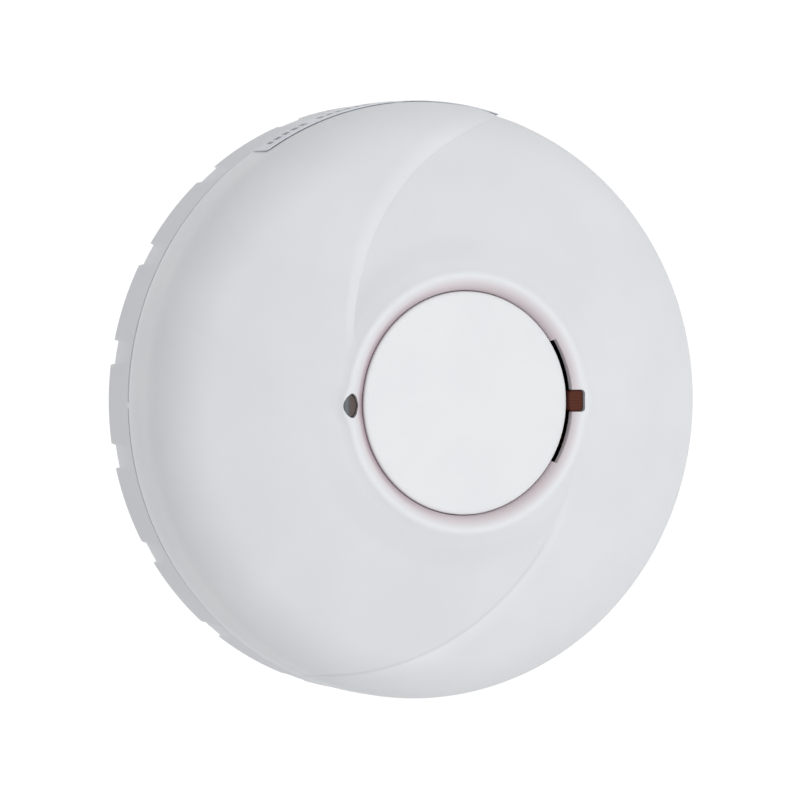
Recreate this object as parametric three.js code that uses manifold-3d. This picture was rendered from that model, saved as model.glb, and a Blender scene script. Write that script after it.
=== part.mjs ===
// Round twist-off smoke alarm with a large test button.
// Millimetres, +Z out of the wall, +X towards the tinted window, rear rim on z = 0.

import * as THREE from 'three';
import { mergeVertices } from 'three/addons/utils/BufferGeometryUtils.js';
import Module from 'manifold-3d';

// ---------------------------------------------------------------- driving dimensions

const CLEARANCE = 0.3;            // between pieces that touch
const RUNNING_CLEARANCE = 0.4;    // between pieces that slide or turn on each other
const ROUND = 60;                 // facets round the large turned shapes
const SMALL_ROUND = 20;           // facets round the small ones

// Mounting base
const BASE_RADIUS = 50;
const BASE_HEIGHT = 9.2;
const BASE_WALL = 1.8;
const PLATE_LIFT = 2.2;           // plate stands this far off the wall
const PLATE_THICKNESS = 1.8;
const NOTCH_COUNT = 18;
const NOTCH_DEPTH = 2.1;
const NOTCH_WIDTH_REAR = 4.5;
const NOTCH_WIDTH_FRONT = 3.8;
const CABLE_HOLE_RADIUS = 16;
const SCREW_SPACING = 66;         // between the two fixing slots
const FIXING_SLOT_LENGTH = 9;
const FIXING_SLOT_WIDTH = 4.4;
const FIXING_PAD_WIDTH = 11;

// Bayonet between base and alarm
const TWIST_DEGREES = 15;
const HOOK_ANGLES = [90, 210, 330];
const HOOK_HALF_ANGLE = 6;
const HOOK_STOP_ANGLE = 2.4;
const HOOK_STOP_GAP = 0.6;        // degrees between the foot and its stop
const HOOK_TONGUE = 2.6;          // radial reach of each tongue
const HOOK_WALL = 1.6;
const TONGUE_THICKNESS = 1.2;

// Front cover
const SEAM_GAP = 0.4;
const COVER_OVERHANG = 0.2;
const COVER_WALL = 2;
const COVER_SIDE = 6.4;           // upright side below the shoulder
const SHOULDER_RADIUS = 12.5;
const SHOULDER_SWEEP = 65;
const CONE_CROWN = 0.35;          // how far the cone bellies outward
const OVERALL_HEIGHT = 35.8;
const MOAT_WIDTH = 2.8;           // button edge to the crest of the lip
const MOAT_DEPTH = 2;
const LIP_RISE = 0.35;
const COLLAR_WALL = 1.4;
const COLLAR_DEPTH = 3;
const INLET_HALF_ANGLE = 32.5;     // smoke inlet beside the button, on the right
const INLET_WIDTH = 0.4;          // at the top, beyond the button bore
const INLET_UNDERCUT = 1.2;       // wider still below the rounded lip
const SEAM_NIB_WIDTH = 1;

// Test button
const BUTTON_RADIUS = 18.5;
const BUTTON_DROP = 1.3;          // edge of the button below the lip
const BUTTON_CROWN = 0.35;
const BUTTON_THICKNESS = 1.6;
const BUTTON_SKIRT_WALL = 1.4;
const BUTTON_SKIRT_DEPTH = 3.6;
const BUTTON_TRAVEL = 1.2;
const BUTTON_HOOK_ANGLES = [90, 210, 330];
const BUTTON_HOOK_HALF_ANGLE = 7;
const BUTTON_HOOK_BARB = 1.1;
const BUTTON_POST_RADIUS = 1.3;

// Status window (left) and tinted window (right)
const STATUS_WINDOW_WIDTH = 4.1;  // along the lip
const STATUS_WINDOW_DEPTH = 3;    // across the lip
const STATUS_WINDOW_REACH = 1.2;  // past the crest of the lip
const LED_HEIGHT = 4.8;           // light-emitting diode below the status window
const TINTED_WINDOW_WIDTH = 3.7;
const TINTED_GUIDE_THICKNESS = 1.8;
const TINTED_HEAD_HEIGHT = 3.4;

// Warning label, wrapped round the side of the cover
const LABEL_THICKNESS = 0.2;
const LABEL_STANDOFF = 0.06;
const LABEL_BOTTOM = 0.5;         // above the lower edge of the cover
const LABEL_HEIGHT = 6.2;
const LABEL_START = 72.5;
const LABEL_END = 123.4;

// Rear chassis and circuit board
const CHASSIS_DROP = 1;           // underside of the chassis floor below the top of the base
const CHASSIS_FLOOR = 1.4;
const CHASSIS_GAP = 0.6;          // round the chassis, inside base and cover
const CHASSIS_RIM_WALL = 1.4;
const CHASSIS_RIM_HEIGHT = 3;
const BOARD_LIFT = 3.4;           // board above the chassis floor
const BOARD_THICKNESS = 1.6;
const BOARD_MARGIN = 4.6;         // board edge inside the chassis edge
const STANDOFF_RADIUS = 2.2;
const BOARD_SCREW_RADIUS = 0.9;
const BOARD_SCREW_BITE = 2.6;      // length of shank below the board
const STANDOFF_PLACES = [[-31, 10], [31, 10], [-31, -14], [31, -14]];
const CASE_SCREW_X = 34;
const CASE_SCREW_Y = 24.5;
const CASE_SCREW_HEAD_RADIUS = 2.8;
const CASE_SCREW_HEAD_HEIGHT = 1.8;
const CASE_SCREW_SHANK_RADIUS = 1.2;
const CASE_SCREW_LENGTH = 9;
const CASE_BOSS_RADIUS = 3;
const CASE_PILLAR_WALL = 1.2;

// Battery
const BATTERY_RADIUS = 8.5;
const BATTERY_LENGTH = 34.5;
const BATTERY_GAP = 0.4;
const BATTERY_FROM_CHAMBER = 8;
const PAN_WALL = 1.2;
const STRAP_THICKNESS = 1;
const STRAP_WIDTH = 8;
const TAG_THICKNESS = 0.4;
const TAG_WIDTH = 4;

// Smoke chamber
const CHAMBER_RADIUS = 14.5;
const CHAMBER_BASE_HEIGHT = 2.6;
const CHAMBER_HEIGHT = 13.6;
const CHAMBER_WALL = 1.2;
const CHAMBER_SLOTS = 16;
const CHAMBER_SLOT_WIDTH = 2;
const SCREEN_THICKNESS = 0.4;
const OPTIC_RADIUS = 1.5;
const OPTIC_LENGTH = 5;
const OPTIC_ANGLES = { infrared_emitter: 35, photodiode: 170 };

// Sounder
const SOUNDER_RADIUS = 13.8;
const SOUNDER_HEIGHT = 7;
const SOUNDER_WALL = 1.2;
const SOUNDER_PORT_RADIUS = 3;
const PIEZO_THICKNESS = 0.5;
const PIEZO_LIFT = 1.8;

// Test switch
const SWITCH_SIZE = 6;
const SWITCH_HEIGHT = 3.6;
const SWITCH_ANGLE = -45;
const PLUNGER_RADIUS = 1.6;
const PLUNGER_STAND = 1.7;        // plunger above the switch body

// Power switch, worked by a peg on the base as the alarm is twisted on
const SLIDER_RADIUS = 25;         // from the twist axis to the peg
const PEG_RADIUS = 1.4;
const PRONG = 1.4;
const SLIDER_WIDTH = 5.2;
const STEM = 3;
const POWER_SWITCH_SIDE = 1.6;

// Button spring
const SPRING_RADIUS = 5;
const SPRING_WIRE = 0.7;
const SPRING_TURNS = 3;

// ---------------------------------------------------------------- worked-out levels

const plateTop = PLATE_LIFT + PLATE_THICKNESS;
const coverBottom = BASE_HEIGHT + SEAM_GAP;
const coverRadius = BASE_RADIUS + COVER_OVERHANG;
const shoulderZ = coverBottom + COVER_SIDE;
const lipRadius = BUTTON_RADIUS + MOAT_WIDTH;
const boreRadius = BUTTON_RADIUS + RUNNING_CLEARANCE;
const moatFloorZ = OVERALL_HEIGHT - MOAT_DEPTH;
const collarBottom = moatFloorZ - COLLAR_DEPTH;
const inletRadius = boreRadius + INLET_WIDTH;
const statusX = -(lipRadius + STATUS_WINDOW_REACH - STATUS_WINDOW_DEPTH / 2);
const tintedWindowEdge = lipRadius - 0.05;
const tintedX = (inletRadius + tintedWindowEdge) / 2;
const lensTop = OVERALL_HEIGHT - 0.9;

const chassisBottom = BASE_HEIGHT - CHASSIS_DROP;
const chassisTop = chassisBottom + CHASSIS_FLOOR;
const roomRadius = Math.min(BASE_RADIUS - BASE_WALL, coverRadius - COVER_WALL);
const chassisRadius = roomRadius - CHASSIS_GAP;
const boardBottom = chassisTop + BOARD_LIFT;
const boardTop = boardBottom + BOARD_THICKNESS;
const onBoard = boardTop + CLEARANCE;

const buttonEdgeZ = OVERALL_HEIGHT - BUTTON_DROP;
const buttonUnderZ = buttonEdgeZ - BUTTON_THICKNESS;
const buttonSkirtZ = buttonEdgeZ - BUTTON_SKIRT_DEPTH;

const panFloorZ = plateTop + BUTTON_TRAVEL + RUNNING_CLEARANCE;
const panTopZ = panFloorZ + PAN_WALL;
const batteryZ = panTopZ + BATTERY_GAP + BATTERY_RADIUS;
const batteryY = -(CHAMBER_RADIUS + BATTERY_FROM_CHAMBER + BATTERY_RADIUS);
const boardEdgeY = batteryY + BATTERY_RADIUS + STRAP_THICKNESS + 2 * RUNNING_CLEARANCE;

const chamberTop = onBoard + CHAMBER_HEIGHT;
const sounderY = CHAMBER_RADIUS + SCREEN_THICKNESS + 2 * CLEARANCE + SOUNDER_RADIUS;
const switchDistance = CHAMBER_RADIUS + SCREEN_THICKNESS + CLEARANCE + SWITCH_SIZE / 2;
const switchTop = onBoard + SWITCH_HEIGHT;
const plungerTop = switchTop + PLUNGER_STAND;

const halfTwist = THREE.MathUtils.degToRad(TWIST_DEGREES / 2);
const sliderHalfTravel = SLIDER_RADIUS * Math.sin(halfTwist);
const sliderX = -SLIDER_RADIUS * Math.cos(halfTwist);

// ---------------------------------------------------------------- finishes

const finish = (color, roughness, metalness = 0) => () =>
  new THREE.MeshStandardMaterial({ color, roughness, metalness });

const coverPlastic = finish('#e2e3e5', 0.55);
const basePlastic = finish('#dcdde0', 0.6);
const buttonPlastic = finish('#e6e7e9', 0.5);
const chassisPlastic = finish('#d6d7da', 0.6);
const blackPlastic = finish('#1c1c1e', 0.6);
const clearPlastic = finish('#65727a', 0.2);
const tintedPlastic = finish('#58301f', 0.3);
const boardLaminate = finish('#2f5b3a', 0.55);
const labelPaper = finish('#cdd1d9', 0.6);
const steel = finish('#9a9ca0', 0.35, 0.9);
const brass = finish('#b89a5a', 0.35, 0.9);
const batterySleeve = finish('#3b4450', 0.45);
const copperWire = finish('#8a4a2a', 0.4, 0.7);

// ---------------------------------------------------------------- solids

const wasm = await Module();
wasm.setup();
const radians = THREE.MathUtils.degToRad;

// A closed three.js geometry as a solid that can be joined and cut.
function solid(geometry) {
  const bare = geometry.index ? geometry.toNonIndexed() : geometry.clone();
  bare.deleteAttribute('normal');
  bare.deleteAttribute('uv');
  const merged = mergeVertices(bare, 1e-4);
  const { Mesh, Manifold } = wasm;
  return new Manifold(new Mesh({
    numProp: 3,
    vertProperties: Float32Array.from(merged.attributes.position.array),
    triVerts: Uint32Array.from(merged.index.array),
  }));
}

function geometryOf(body) {
  const mesh = body.getMesh();
  const geometry = new THREE.BufferGeometry();
  geometry.setAttribute('position', new THREE.BufferAttribute(mesh.vertProperties, 3));
  geometry.setIndex(new THREE.BufferAttribute(mesh.triVerts, 1));
  geometry.computeVertexNormals();
  return geometry;
}

const join = (...bodies) => bodies.reduce((whole, body) => whole.add(body));
const cut = (body, ...tools) => tools.reduce((rest, tool) => rest.subtract(tool), body);

// Turned shape about Z from a closed outline of [radius, height] points.
function turned(outline, segments = ROUND) {
  const points = outline.map(([r, z]) => new THREE.Vector2(r, z));
  if (THREE.ShapeUtils.area(points) < 0) points.reverse();
  const onAxis = points.some((p) => p.x === 0);
  if (onAxis) {
    const start = points.findIndex((p, i) => p.x === 0 && points[(i + 1) % points.length].x > 0);
    points.push(...points.splice(0, start));
  } else {
    points.push(points[0].clone());
  }
  return solid(new THREE.LatheGeometry(points, segments).rotateX(Math.PI / 2));
}

function disc(radius, z0, z1, segments = SMALL_ROUND, x = 0, y = 0) {
  const geometry = new THREE.CylinderGeometry(radius, radius, z1 - z0, segments);
  return solid(geometry.rotateX(Math.PI / 2).translate(x, y, (z0 + z1) / 2));
}

function block(x0, x1, y0, y1, z0, z1) {
  const geometry = new THREE.BoxGeometry(x1 - x0, y1 - y0, z1 - z0);
  return solid(geometry.translate((x0 + x1) / 2, (y0 + y1) / 2, (z0 + z1) / 2));
}

function oval(halfX, halfY, z0, z1, x = 0) {
  const geometry = new THREE.CylinderGeometry(1, 1, z1 - z0, SMALL_ROUND);
  geometry.rotateX(Math.PI / 2).scale(halfX, halfY, 1);
  return solid(geometry.translate(x, 0, (z0 + z1) / 2));
}

function prism(shape, z0, z1, curveSegments = 8) {
  const geometry = new THREE.ExtrudeGeometry(shape, { depth: z1 - z0, bevelEnabled: false, curveSegments });
  return solid(geometry.translate(0, 0, z0));
}

// Part of a ring between two radii and two angles in degrees.
function sector(r0, r1, from, to, z0, z1, curveSegments = 6) {
  const shape = new THREE.Shape();
  shape.absarc(0, 0, r1, radians(from), radians(to), false);
  shape.absarc(0, 0, r0, radians(to), radians(from), true);
  shape.closePath();
  return prism(shape, z0, z1, curveSegments);
}

function polar(radius, degrees) {
  return [radius * Math.cos(radians(degrees)), radius * Math.sin(radians(degrees))];
}

const model = new THREE.Group();

function piece(name, body, material, place = [0, 0, 0], turn = 0) {
  const geometry = body instanceof THREE.BufferGeometry ? body : geometryOf(body);
  const mesh = new THREE.Mesh(geometry, material());
  mesh.name = name;
  mesh.position.set(...place);
  mesh.rotation.z = turn;
  model.add(mesh);
}

// ---------------------------------------------------------------- mounting base

function rimNotch(degrees) {
  const shape = new THREE.Shape([
    new THREE.Vector2(-NOTCH_WIDTH_REAR / 2, -1),
    new THREE.Vector2(NOTCH_WIDTH_REAR / 2, -1),
    new THREE.Vector2(NOTCH_WIDTH_FRONT / 2, NOTCH_DEPTH),
    new THREE.Vector2(-NOTCH_WIDTH_FRONT / 2, NOTCH_DEPTH),
  ]);
  const depth = BASE_WALL + 2;
  const geometry = new THREE.ExtrudeGeometry(shape, { depth, bevelEnabled: false });
  geometry.rotateX(Math.PI / 2).rotateZ(Math.PI / 2);
  geometry.translate(BASE_RADIUS - BASE_WALL - 1, 0, 0).rotateZ(radians(degrees));
  return solid(geometry);
}

// Where the two tongues of the bayonet lie, from the alarm's edge inwards.
const hookWallInner = chassisRadius - 3.4;
const tongueInner = hookWallInner - HOOK_TONGUE;
const hookTop = chassisBottom - 2 * RUNNING_CLEARANCE;
const hookTongueZ = hookTop - TONGUE_THICKNESS;

// Hook with an inward tongue, and a stop at its end that the alarm's foot turns against.
function baseHook(degrees) {
  const from = degrees - HOOK_HALF_ANGLE;
  const to = degrees + HOOK_HALF_ANGLE;
  const stopTo = from - HOOK_STOP_GAP;
  const stopFrom = stopTo - HOOK_STOP_ANGLE;
  const root = plateTop - 0.5;
  const wall = sector(hookWallInner, hookWallInner + HOOK_WALL, stopFrom, to, root, hookTop, 8);
  const tongue = sector(tongueInner, hookWallInner + 0.5, from, to, hookTongueZ, hookTop);
  const stop = sector(tongueInner, hookWallInner + 0.5, stopFrom, stopTo, root, hookTop, 2);
  return join(wall, tongue, stop);
}

function fixingSlot(x) {
  const half = FIXING_SLOT_WIDTH / 2;
  const reach = FIXING_SLOT_LENGTH / 2 - half;
  const shape = new THREE.Shape();
  shape.absarc(x, reach, half, 0, Math.PI, false);
  shape.absarc(x, -reach, half, Math.PI, 2 * Math.PI, false);
  shape.closePath();
  return prism(shape, -1, plateTop + 1);
}

function fixingPad(x) {
  const half = FIXING_PAD_WIDTH / 2;
  const reach = FIXING_SLOT_LENGTH / 2 + 2;
  return block(x - half, x + half, -reach, reach, 0, PLATE_LIFT + 0.5);
}

function mountingBase() {
  const inner = BASE_RADIUS - BASE_WALL;
  const skirt = turned([[inner, 0], [BASE_RADIUS, 0], [BASE_RADIUS, BASE_HEIGHT], [inner, BASE_HEIGHT]]);
  const plate = turned([
    [CABLE_HOLE_RADIUS, PLATE_LIFT], [inner + 0.5, PLATE_LIFT],
    [inner + 0.5, plateTop], [CABLE_HOLE_RADIUS, plateTop],
  ]);
  const fixings = [-SCREW_SPACING / 2, SCREW_SPACING / 2];
  const peg = disc(PEG_RADIUS, plateTop - 0.5, hookTongueZ + 0.4, 16, sliderX, -sliderHalfTravel);
  let body = join(skirt, plate, ...fixings.map(fixingPad), ...HOOK_ANGLES.map(baseHook), peg);
  const pitch = 360 / NOTCH_COUNT;
  for (let i = 0; i < NOTCH_COUNT; i += 1) body = cut(body, rimNotch((i + 0.5) * pitch));
  return cut(body, ...fixings.map(fixingSlot));
}

// ---------------------------------------------------------------- front cover

// Outside of the dome from the seam to the crest of the lip.
function domeOutline() {
  const centre = coverRadius - SHOULDER_RADIUS;
  const points = [[coverRadius, coverBottom]];
  const steps = 6;
  for (let i = 0; i <= steps; i += 1) {
    const a = radians(SHOULDER_SWEEP * i / steps);
    points.push([centre + SHOULDER_RADIUS * Math.cos(a), shoulderZ + SHOULDER_RADIUS * Math.sin(a)]);
  }
  const [r0, z0] = points[points.length - 1];
  const r1 = lipRadius + 1;
  const z1 = OVERALL_HEIGHT - LIP_RISE;
  for (const t of [0.33, 0.67, 1]) {
    const belly = CONE_CROWN * 4 * t * (1 - t);
    points.push([r0 + (r1 - r0) * t, z0 + (z1 - z0) * t + belly]);
  }
  points.push([lipRadius + 0.5, OVERALL_HEIGHT - 0.08], [lipRadius, OVERALL_HEIGHT]);
  return points;
}

// Rounded inside of the lip, rolling over from the crest down to the button bore.
function moatOutline() {
  const points = [];
  const steps = 5;
  for (let i = 1; i <= steps; i += 1) {
    const a = radians(90 * i / steps);
    points.push([lipRadius - (lipRadius - boreRadius) * Math.sin(a), moatFloorZ + MOAT_DEPTH * Math.cos(a)]);
  }
  return points;
}

// Inside of the shell, one wall thickness in, from the collar back to the seam.
function insideOutline() {
  const centre = coverRadius - SHOULDER_RADIUS;
  const innerShoulder = SHOULDER_RADIUS - COVER_WALL;
  const collarOuter = boreRadius + COLLAR_WALL;
  const points = [
    [boreRadius, collarBottom],
    [collarOuter, collarBottom],
    [collarOuter, OVERALL_HEIGHT - 2 * COVER_WALL - 0.2],
    [lipRadius + 1.2, OVERALL_HEIGHT - 1.6 * COVER_WALL],
  ];
  const steps = 5;
  for (let i = steps; i >= 0; i -= 1) {
    const a = radians(SHOULDER_SWEEP * i / steps);
    points.push([centre + innerShoulder * Math.cos(a), shoulderZ + innerShoulder * Math.sin(a)]);
  }
  points.push([coverRadius - COVER_WALL, coverBottom]);
  return points;
}

const caseScrewPlaces = [
  [CASE_SCREW_X, CASE_SCREW_Y], [-CASE_SCREW_X, CASE_SCREW_Y],
  [-CASE_SCREW_X, -CASE_SCREW_Y], [CASE_SCREW_X, -CASE_SCREW_Y],
];
const pillarWebZ = chassisBottom + CASE_SCREW_HEAD_HEIGHT + 2 * CLEARANCE;
const pillarTop = pillarWebZ + CASE_PILLAR_WALL;
const caseBossZ = pillarTop + CLEARANCE;
const caseScrewZ = pillarWebZ - CLEARANCE;

function frontCover() {
  const shell = turned([...domeOutline(), ...moatOutline(), ...insideOutline()]);
  const fill = turned([[0, coverBottom], ...domeOutline(), [0, OVERALL_HEIGHT]]);
  const bosses = caseScrewPlaces.map(([x, y]) =>
    disc(CASE_BOSS_RADIUS, caseBossZ, OVERALL_HEIGHT, SMALL_ROUND, x, y).intersect(fill));
  const pilots = caseScrewPlaces.map(([x, y]) =>
    disc(CASE_SCREW_SHANK_RADIUS + CLEARANCE, caseBossZ - 1, caseScrewZ + CASE_SCREW_LENGTH, 16, x, y));
  const nib = block(-coverRadius, -(coverRadius - COVER_WALL + 0.3), -SEAM_NIB_WIDTH / 2,
    SEAM_NIB_WIDTH / 2, coverBottom - SEAM_GAP * 0.75, coverBottom + 0.5);
  const low = collarBottom - 1;
  const high = OVERALL_HEIGHT + 1;
  const inlet = sector(boreRadius - 0.5, inletRadius, -INLET_HALF_ANGLE, INLET_HALF_ANGLE, low, high, 12);
  const undercut = sector(boreRadius - 0.5, inletRadius + INLET_UNDERCUT,
    -INLET_HALF_ANGLE, INLET_HALF_ANGLE, low, moatFloorZ, 12);
  const status = oval(STATUS_WINDOW_DEPTH / 2, STATUS_WINDOW_WIDTH / 2, low, high, statusX);
  const tinted = block(inletRadius - 0.3, tintedWindowEdge,
    -TINTED_WINDOW_WIDTH / 2, TINTED_WINDOW_WIDTH / 2, low, high);
  return cut(join(shell, ...bosses, nib), ...pilots, inlet, undercut, status, tinted);
}

// ---------------------------------------------------------------- test button

function buttonHook(degrees) {
  const from = degrees - BUTTON_HOOK_HALF_ANGLE;
  const to = degrees + BUTTON_HOOK_HALF_ANGLE;
  const barbTop = collarBottom - RUNNING_CLEARANCE;
  const barbBottom = barbTop - 1.2;
  const inner = BUTTON_RADIUS - BUTTON_SKIRT_WALL;
  const leg = sector(inner, BUTTON_RADIUS, from, to, barbBottom, buttonSkirtZ + 0.5, 3);
  const barb = sector(inner, BUTTON_RADIUS + BUTTON_HOOK_BARB, from, to, barbBottom, barbTop, 3);
  return join(leg, barb);
}

function testButton() {
  const inner = BUTTON_RADIUS - BUTTON_SKIRT_WALL;
  const cap = turned([
    [0, buttonUnderZ], [inner, buttonUnderZ], [inner, buttonSkirtZ],
    [BUTTON_RADIUS, buttonSkirtZ], [BUTTON_RADIUS, buttonEdgeZ - 0.5],
    [BUTTON_RADIUS - 0.2, buttonEdgeZ - 0.15], [BUTTON_RADIUS - 0.6, buttonEdgeZ],
    [BUTTON_RADIUS * 0.7, buttonEdgeZ + BUTTON_CROWN * 0.55],
    [BUTTON_RADIUS * 0.35, buttonEdgeZ + BUTTON_CROWN * 0.9], [0, buttonEdgeZ + BUTTON_CROWN],
  ]);
  const reach = Math.min(switchDistance, inner - 0.2);
  const [x, y] = polar(reach, SWITCH_ANGLE);
  const post = disc(BUTTON_POST_RADIUS, plungerTop + CLEARANCE, buttonUnderZ + 0.5, 16, x, y);
  const seat = disc(SPRING_RADIUS - 1.2, buttonUnderZ - 1, buttonUnderZ + 0.5);
  return join(cap, post, seat, ...BUTTON_HOOK_ANGLES.map(buttonHook));
}

class SpringPath extends THREE.Curve {
  constructor(bottom, top) {
    super();
    this.bottom = bottom;
    this.top = top;
  }

  getPoint(t, target = new THREE.Vector3()) {
    const turn = 2 * Math.PI * SPRING_TURNS * t;
    const z = this.bottom + (this.top - this.bottom) * t;
    return target.set(SPRING_RADIUS * Math.cos(turn), SPRING_RADIUS * Math.sin(turn), z);
  }
}

function buttonSpring() {
  const low = chamberTop + CLEARANCE + SPRING_WIRE / 2 + 0.05;
  const high = buttonUnderZ - CLEARANCE - SPRING_WIRE / 2 - 0.05;
  const section = new THREE.Shape();
  section.absarc(0, 0, SPRING_WIRE / 2, 0, 2 * Math.PI, false);
  const options = { steps: 14 * SPRING_TURNS, curveSegments: 3, extrudePath: new SpringPath(low, high) };
  return solid(new THREE.ExtrudeGeometry(section, { ...options, bevelEnabled: false }));
}

// ---------------------------------------------------------------- windows and label

function statusLightGuide() {
  const low = onBoard + LED_HEIGHT + CLEARANCE;
  return oval(STATUS_WINDOW_DEPTH / 2 - CLEARANCE, STATUS_WINDOW_WIDTH / 2 - CLEARANCE, low, lensTop);
}

// Head fills the notch in the lip; the stem below it carries light down to the sensor.
function tintedLightGuide() {
  const halfWidth = TINTED_WINDOW_WIDTH / 2 - CLEARANCE;
  const head = tintedWindowEdge - CLEARANCE - tintedX;
  const shoulder = collarBottom - CLEARANCE;
  const low = onBoard + TINTED_HEAD_HEIGHT;
  return join(
    block(-head, head, -halfWidth, halfWidth, shoulder - 0.5, lensTop),
    block(-head, TINTED_GUIDE_THICKNESS - head, -halfWidth, halfWidth, low, shoulder),
  );
}

// The label follows the cover's side and the start of its shoulder.
function labelBand() {
  const centre = coverRadius - SHOULDER_RADIUS;
  const bottom = coverBottom + LABEL_BOTTOM;
  const top = bottom + LABEL_HEIGHT;
  const side = (lift) => {
    const points = [[coverRadius + lift, bottom], [coverRadius + lift, shoulderZ]];
    const end = Math.asin((top - shoulderZ) / SHOULDER_RADIUS);
    for (let i = 1; i <= 3; i += 1) {
      const a = end * i / 3;
      const r = SHOULDER_RADIUS + lift;
      points.push([centre + r * Math.cos(a), shoulderZ + r * Math.sin(a)]);
    }
    return points;
  };
  const inside = side(LABEL_STANDOFF);
  const outside = side(LABEL_STANDOFF + LABEL_THICKNESS);
  const band = turned([...outside, ...inside.reverse()]);
  return band.intersect(sector(BASE_RADIUS / 2, BASE_RADIUS * 2, LABEL_START, LABEL_END, 0, OVERALL_HEIGHT));
}

// ---------------------------------------------------------------- rear chassis

function chassisFoot(degrees) {
  const from = degrees - HOOK_HALF_ANGLE;
  const to = degrees + HOOK_HALF_ANGLE;
  const outer = tongueInner - RUNNING_CLEARANCE;
  const tongueTop = hookTongueZ - RUNNING_CLEARANCE;
  const bottom = tongueTop - TONGUE_THICKNESS;
  const leg = sector(outer - HOOK_WALL, outer, from, to, bottom, chassisBottom + 0.5);
  const tongue = sector(outer - 0.5, hookWallInner - RUNNING_CLEARANCE, from, to, bottom, tongueTop);
  return join(leg, tongue);
}

const panHalfX = BATTERY_LENGTH / 2 + BATTERY_GAP + TAG_THICKNESS + CLEARANCE;
const panHalfY = BATTERY_RADIUS + BATTERY_GAP;
const sliderSlotX = STEM / 2 + RUNNING_CLEARANCE;
const sliderSlotY = sliderHalfTravel + STEM / 2 + RUNNING_CLEARANCE;

function rearChassis() {
  const rim = chassisRadius - CHASSIS_RIM_WALL;
  const tray = turned([
    [0, chassisBottom], [chassisRadius, chassisBottom], [chassisRadius, chassisTop + CHASSIS_RIM_HEIGHT],
    [rim, chassisTop + CHASSIS_RIM_HEIGHT], [rim, chassisTop], [0, chassisTop],
  ]);
  const pillars = caseScrewPlaces.map(([x, y]) =>
    disc(CASE_SCREW_HEAD_RADIUS + CLEARANCE + CASE_PILLAR_WALL, chassisBottom, pillarTop, SMALL_ROUND, x, y));
  const standoffs = STANDOFF_PLACES.map(([x, y]) =>
    disc(STANDOFF_RADIUS, chassisTop - 0.5, boardBottom - CLEARANCE, 16, x, y));
  const pan = block(-panHalfX - PAN_WALL, panHalfX + PAN_WALL, batteryY - panHalfY - PAN_WALL,
    batteryY + panHalfY + PAN_WALL, panFloorZ, chassisTop);
  const body = join(tray, pan, ...pillars, ...standoffs, ...HOOK_ANGLES.map(chassisFoot));
  const panHollow = block(-panHalfX, panHalfX, batteryY - panHalfY, batteryY + panHalfY,
    panTopZ, chassisTop + 1);
  const counterbores = caseScrewPlaces.map(([x, y]) =>
    disc(CASE_SCREW_HEAD_RADIUS + CLEARANCE, chassisBottom - 1, pillarWebZ, SMALL_ROUND, x, y));
  const holes = caseScrewPlaces.map(([x, y]) =>
    disc(CASE_SCREW_SHANK_RADIUS + CLEARANCE, chassisBottom, pillarTop + 1, 16, x, y));
  const slot = block(sliderX - sliderSlotX, sliderX + sliderSlotX, -sliderSlotY, sliderSlotY,
    chassisBottom - 1, chassisTop + 1);
  const pilots = STANDOFF_PLACES.map(([x, y]) =>
    disc(BOARD_SCREW_RADIUS + CLEARANCE, boardBottom - BOARD_SCREW_BITE - CLEARANCE, boardBottom + 1, 12, x, y));
  return cut(body, panHollow, ...counterbores, ...holes, ...pilots, slot);
}

function caseScrew() {
  const head = CASE_SCREW_HEAD_HEIGHT;
  const r = CASE_SCREW_SHANK_RADIUS;
  const body = turned([
    [0, -head], [CASE_SCREW_HEAD_RADIUS * 0.8, -head], [CASE_SCREW_HEAD_RADIUS, -head * 0.6],
    [CASE_SCREW_HEAD_RADIUS, 0], [r, 0], [r, CASE_SCREW_LENGTH - 1.5], [0, CASE_SCREW_LENGTH - 0.4],
  ], 16);
  const arm = CASE_SCREW_HEAD_RADIUS * 0.6;
  const recess = join(
    block(-arm, arm, -0.35, 0.35, -head - 1, -head * 0.45),
    block(-0.35, 0.35, -arm, arm, -head - 1, -head * 0.45),
  );
  return cut(body, recess);
}

// ---------------------------------------------------------------- circuit board and what it carries

function circuitBoard() {
  const radius = chassisRadius - BOARD_MARGIN;
  const edgeAngle = Math.asin(boardEdgeY / radius);
  const shape = new THREE.Shape();
  shape.absarc(0, 0, radius, edgeAngle, Math.PI - edgeAngle, false);
  shape.closePath();
  const bossHoles = caseScrewPlaces.map(([x, y]) =>
    disc(CASE_BOSS_RADIUS + RUNNING_CLEARANCE, boardBottom - 1, boardTop + 1, SMALL_ROUND, x, y));
  const screwHoles = STANDOFF_PLACES.map(([x, y]) =>
    disc(BOARD_SCREW_RADIUS + CLEARANCE, boardBottom - 1, boardTop + 1, 12, x, y));
  return cut(prism(shape, boardBottom, boardTop, 40), ...bossHoles, ...screwHoles);
}

// Pan-head screw whose head rests on the board; the shank runs down into a standoff.
function boardScrew() {
  const tip = -BOARD_THICKNESS - BOARD_SCREW_BITE;
  return turned([
    [0, tip], [BOARD_SCREW_RADIUS, tip], [BOARD_SCREW_RADIUS, 0],
    [1.8, 0], [1.8, 0.7], [1.2, 1.2], [0, 1.2],
  ], 12);
}

function testSwitchBody() {
  const half = SWITCH_SIZE / 2;
  const housing = block(-half, half, -half, half, 0, SWITCH_HEIGHT);
  return cut(housing, disc(PLUNGER_RADIUS + CLEARANCE, 0.6, SWITCH_HEIGHT + 1, 16));
}

function testSwitchPlunger() {
  const bottom = SWITCH_HEIGHT - (SWITCH_HEIGHT - 0.6 - BUTTON_TRAVEL - CLEARANCE);
  return disc(PLUNGER_RADIUS, bottom, SWITCH_HEIGHT + PLUNGER_STAND, 16);
}

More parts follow.
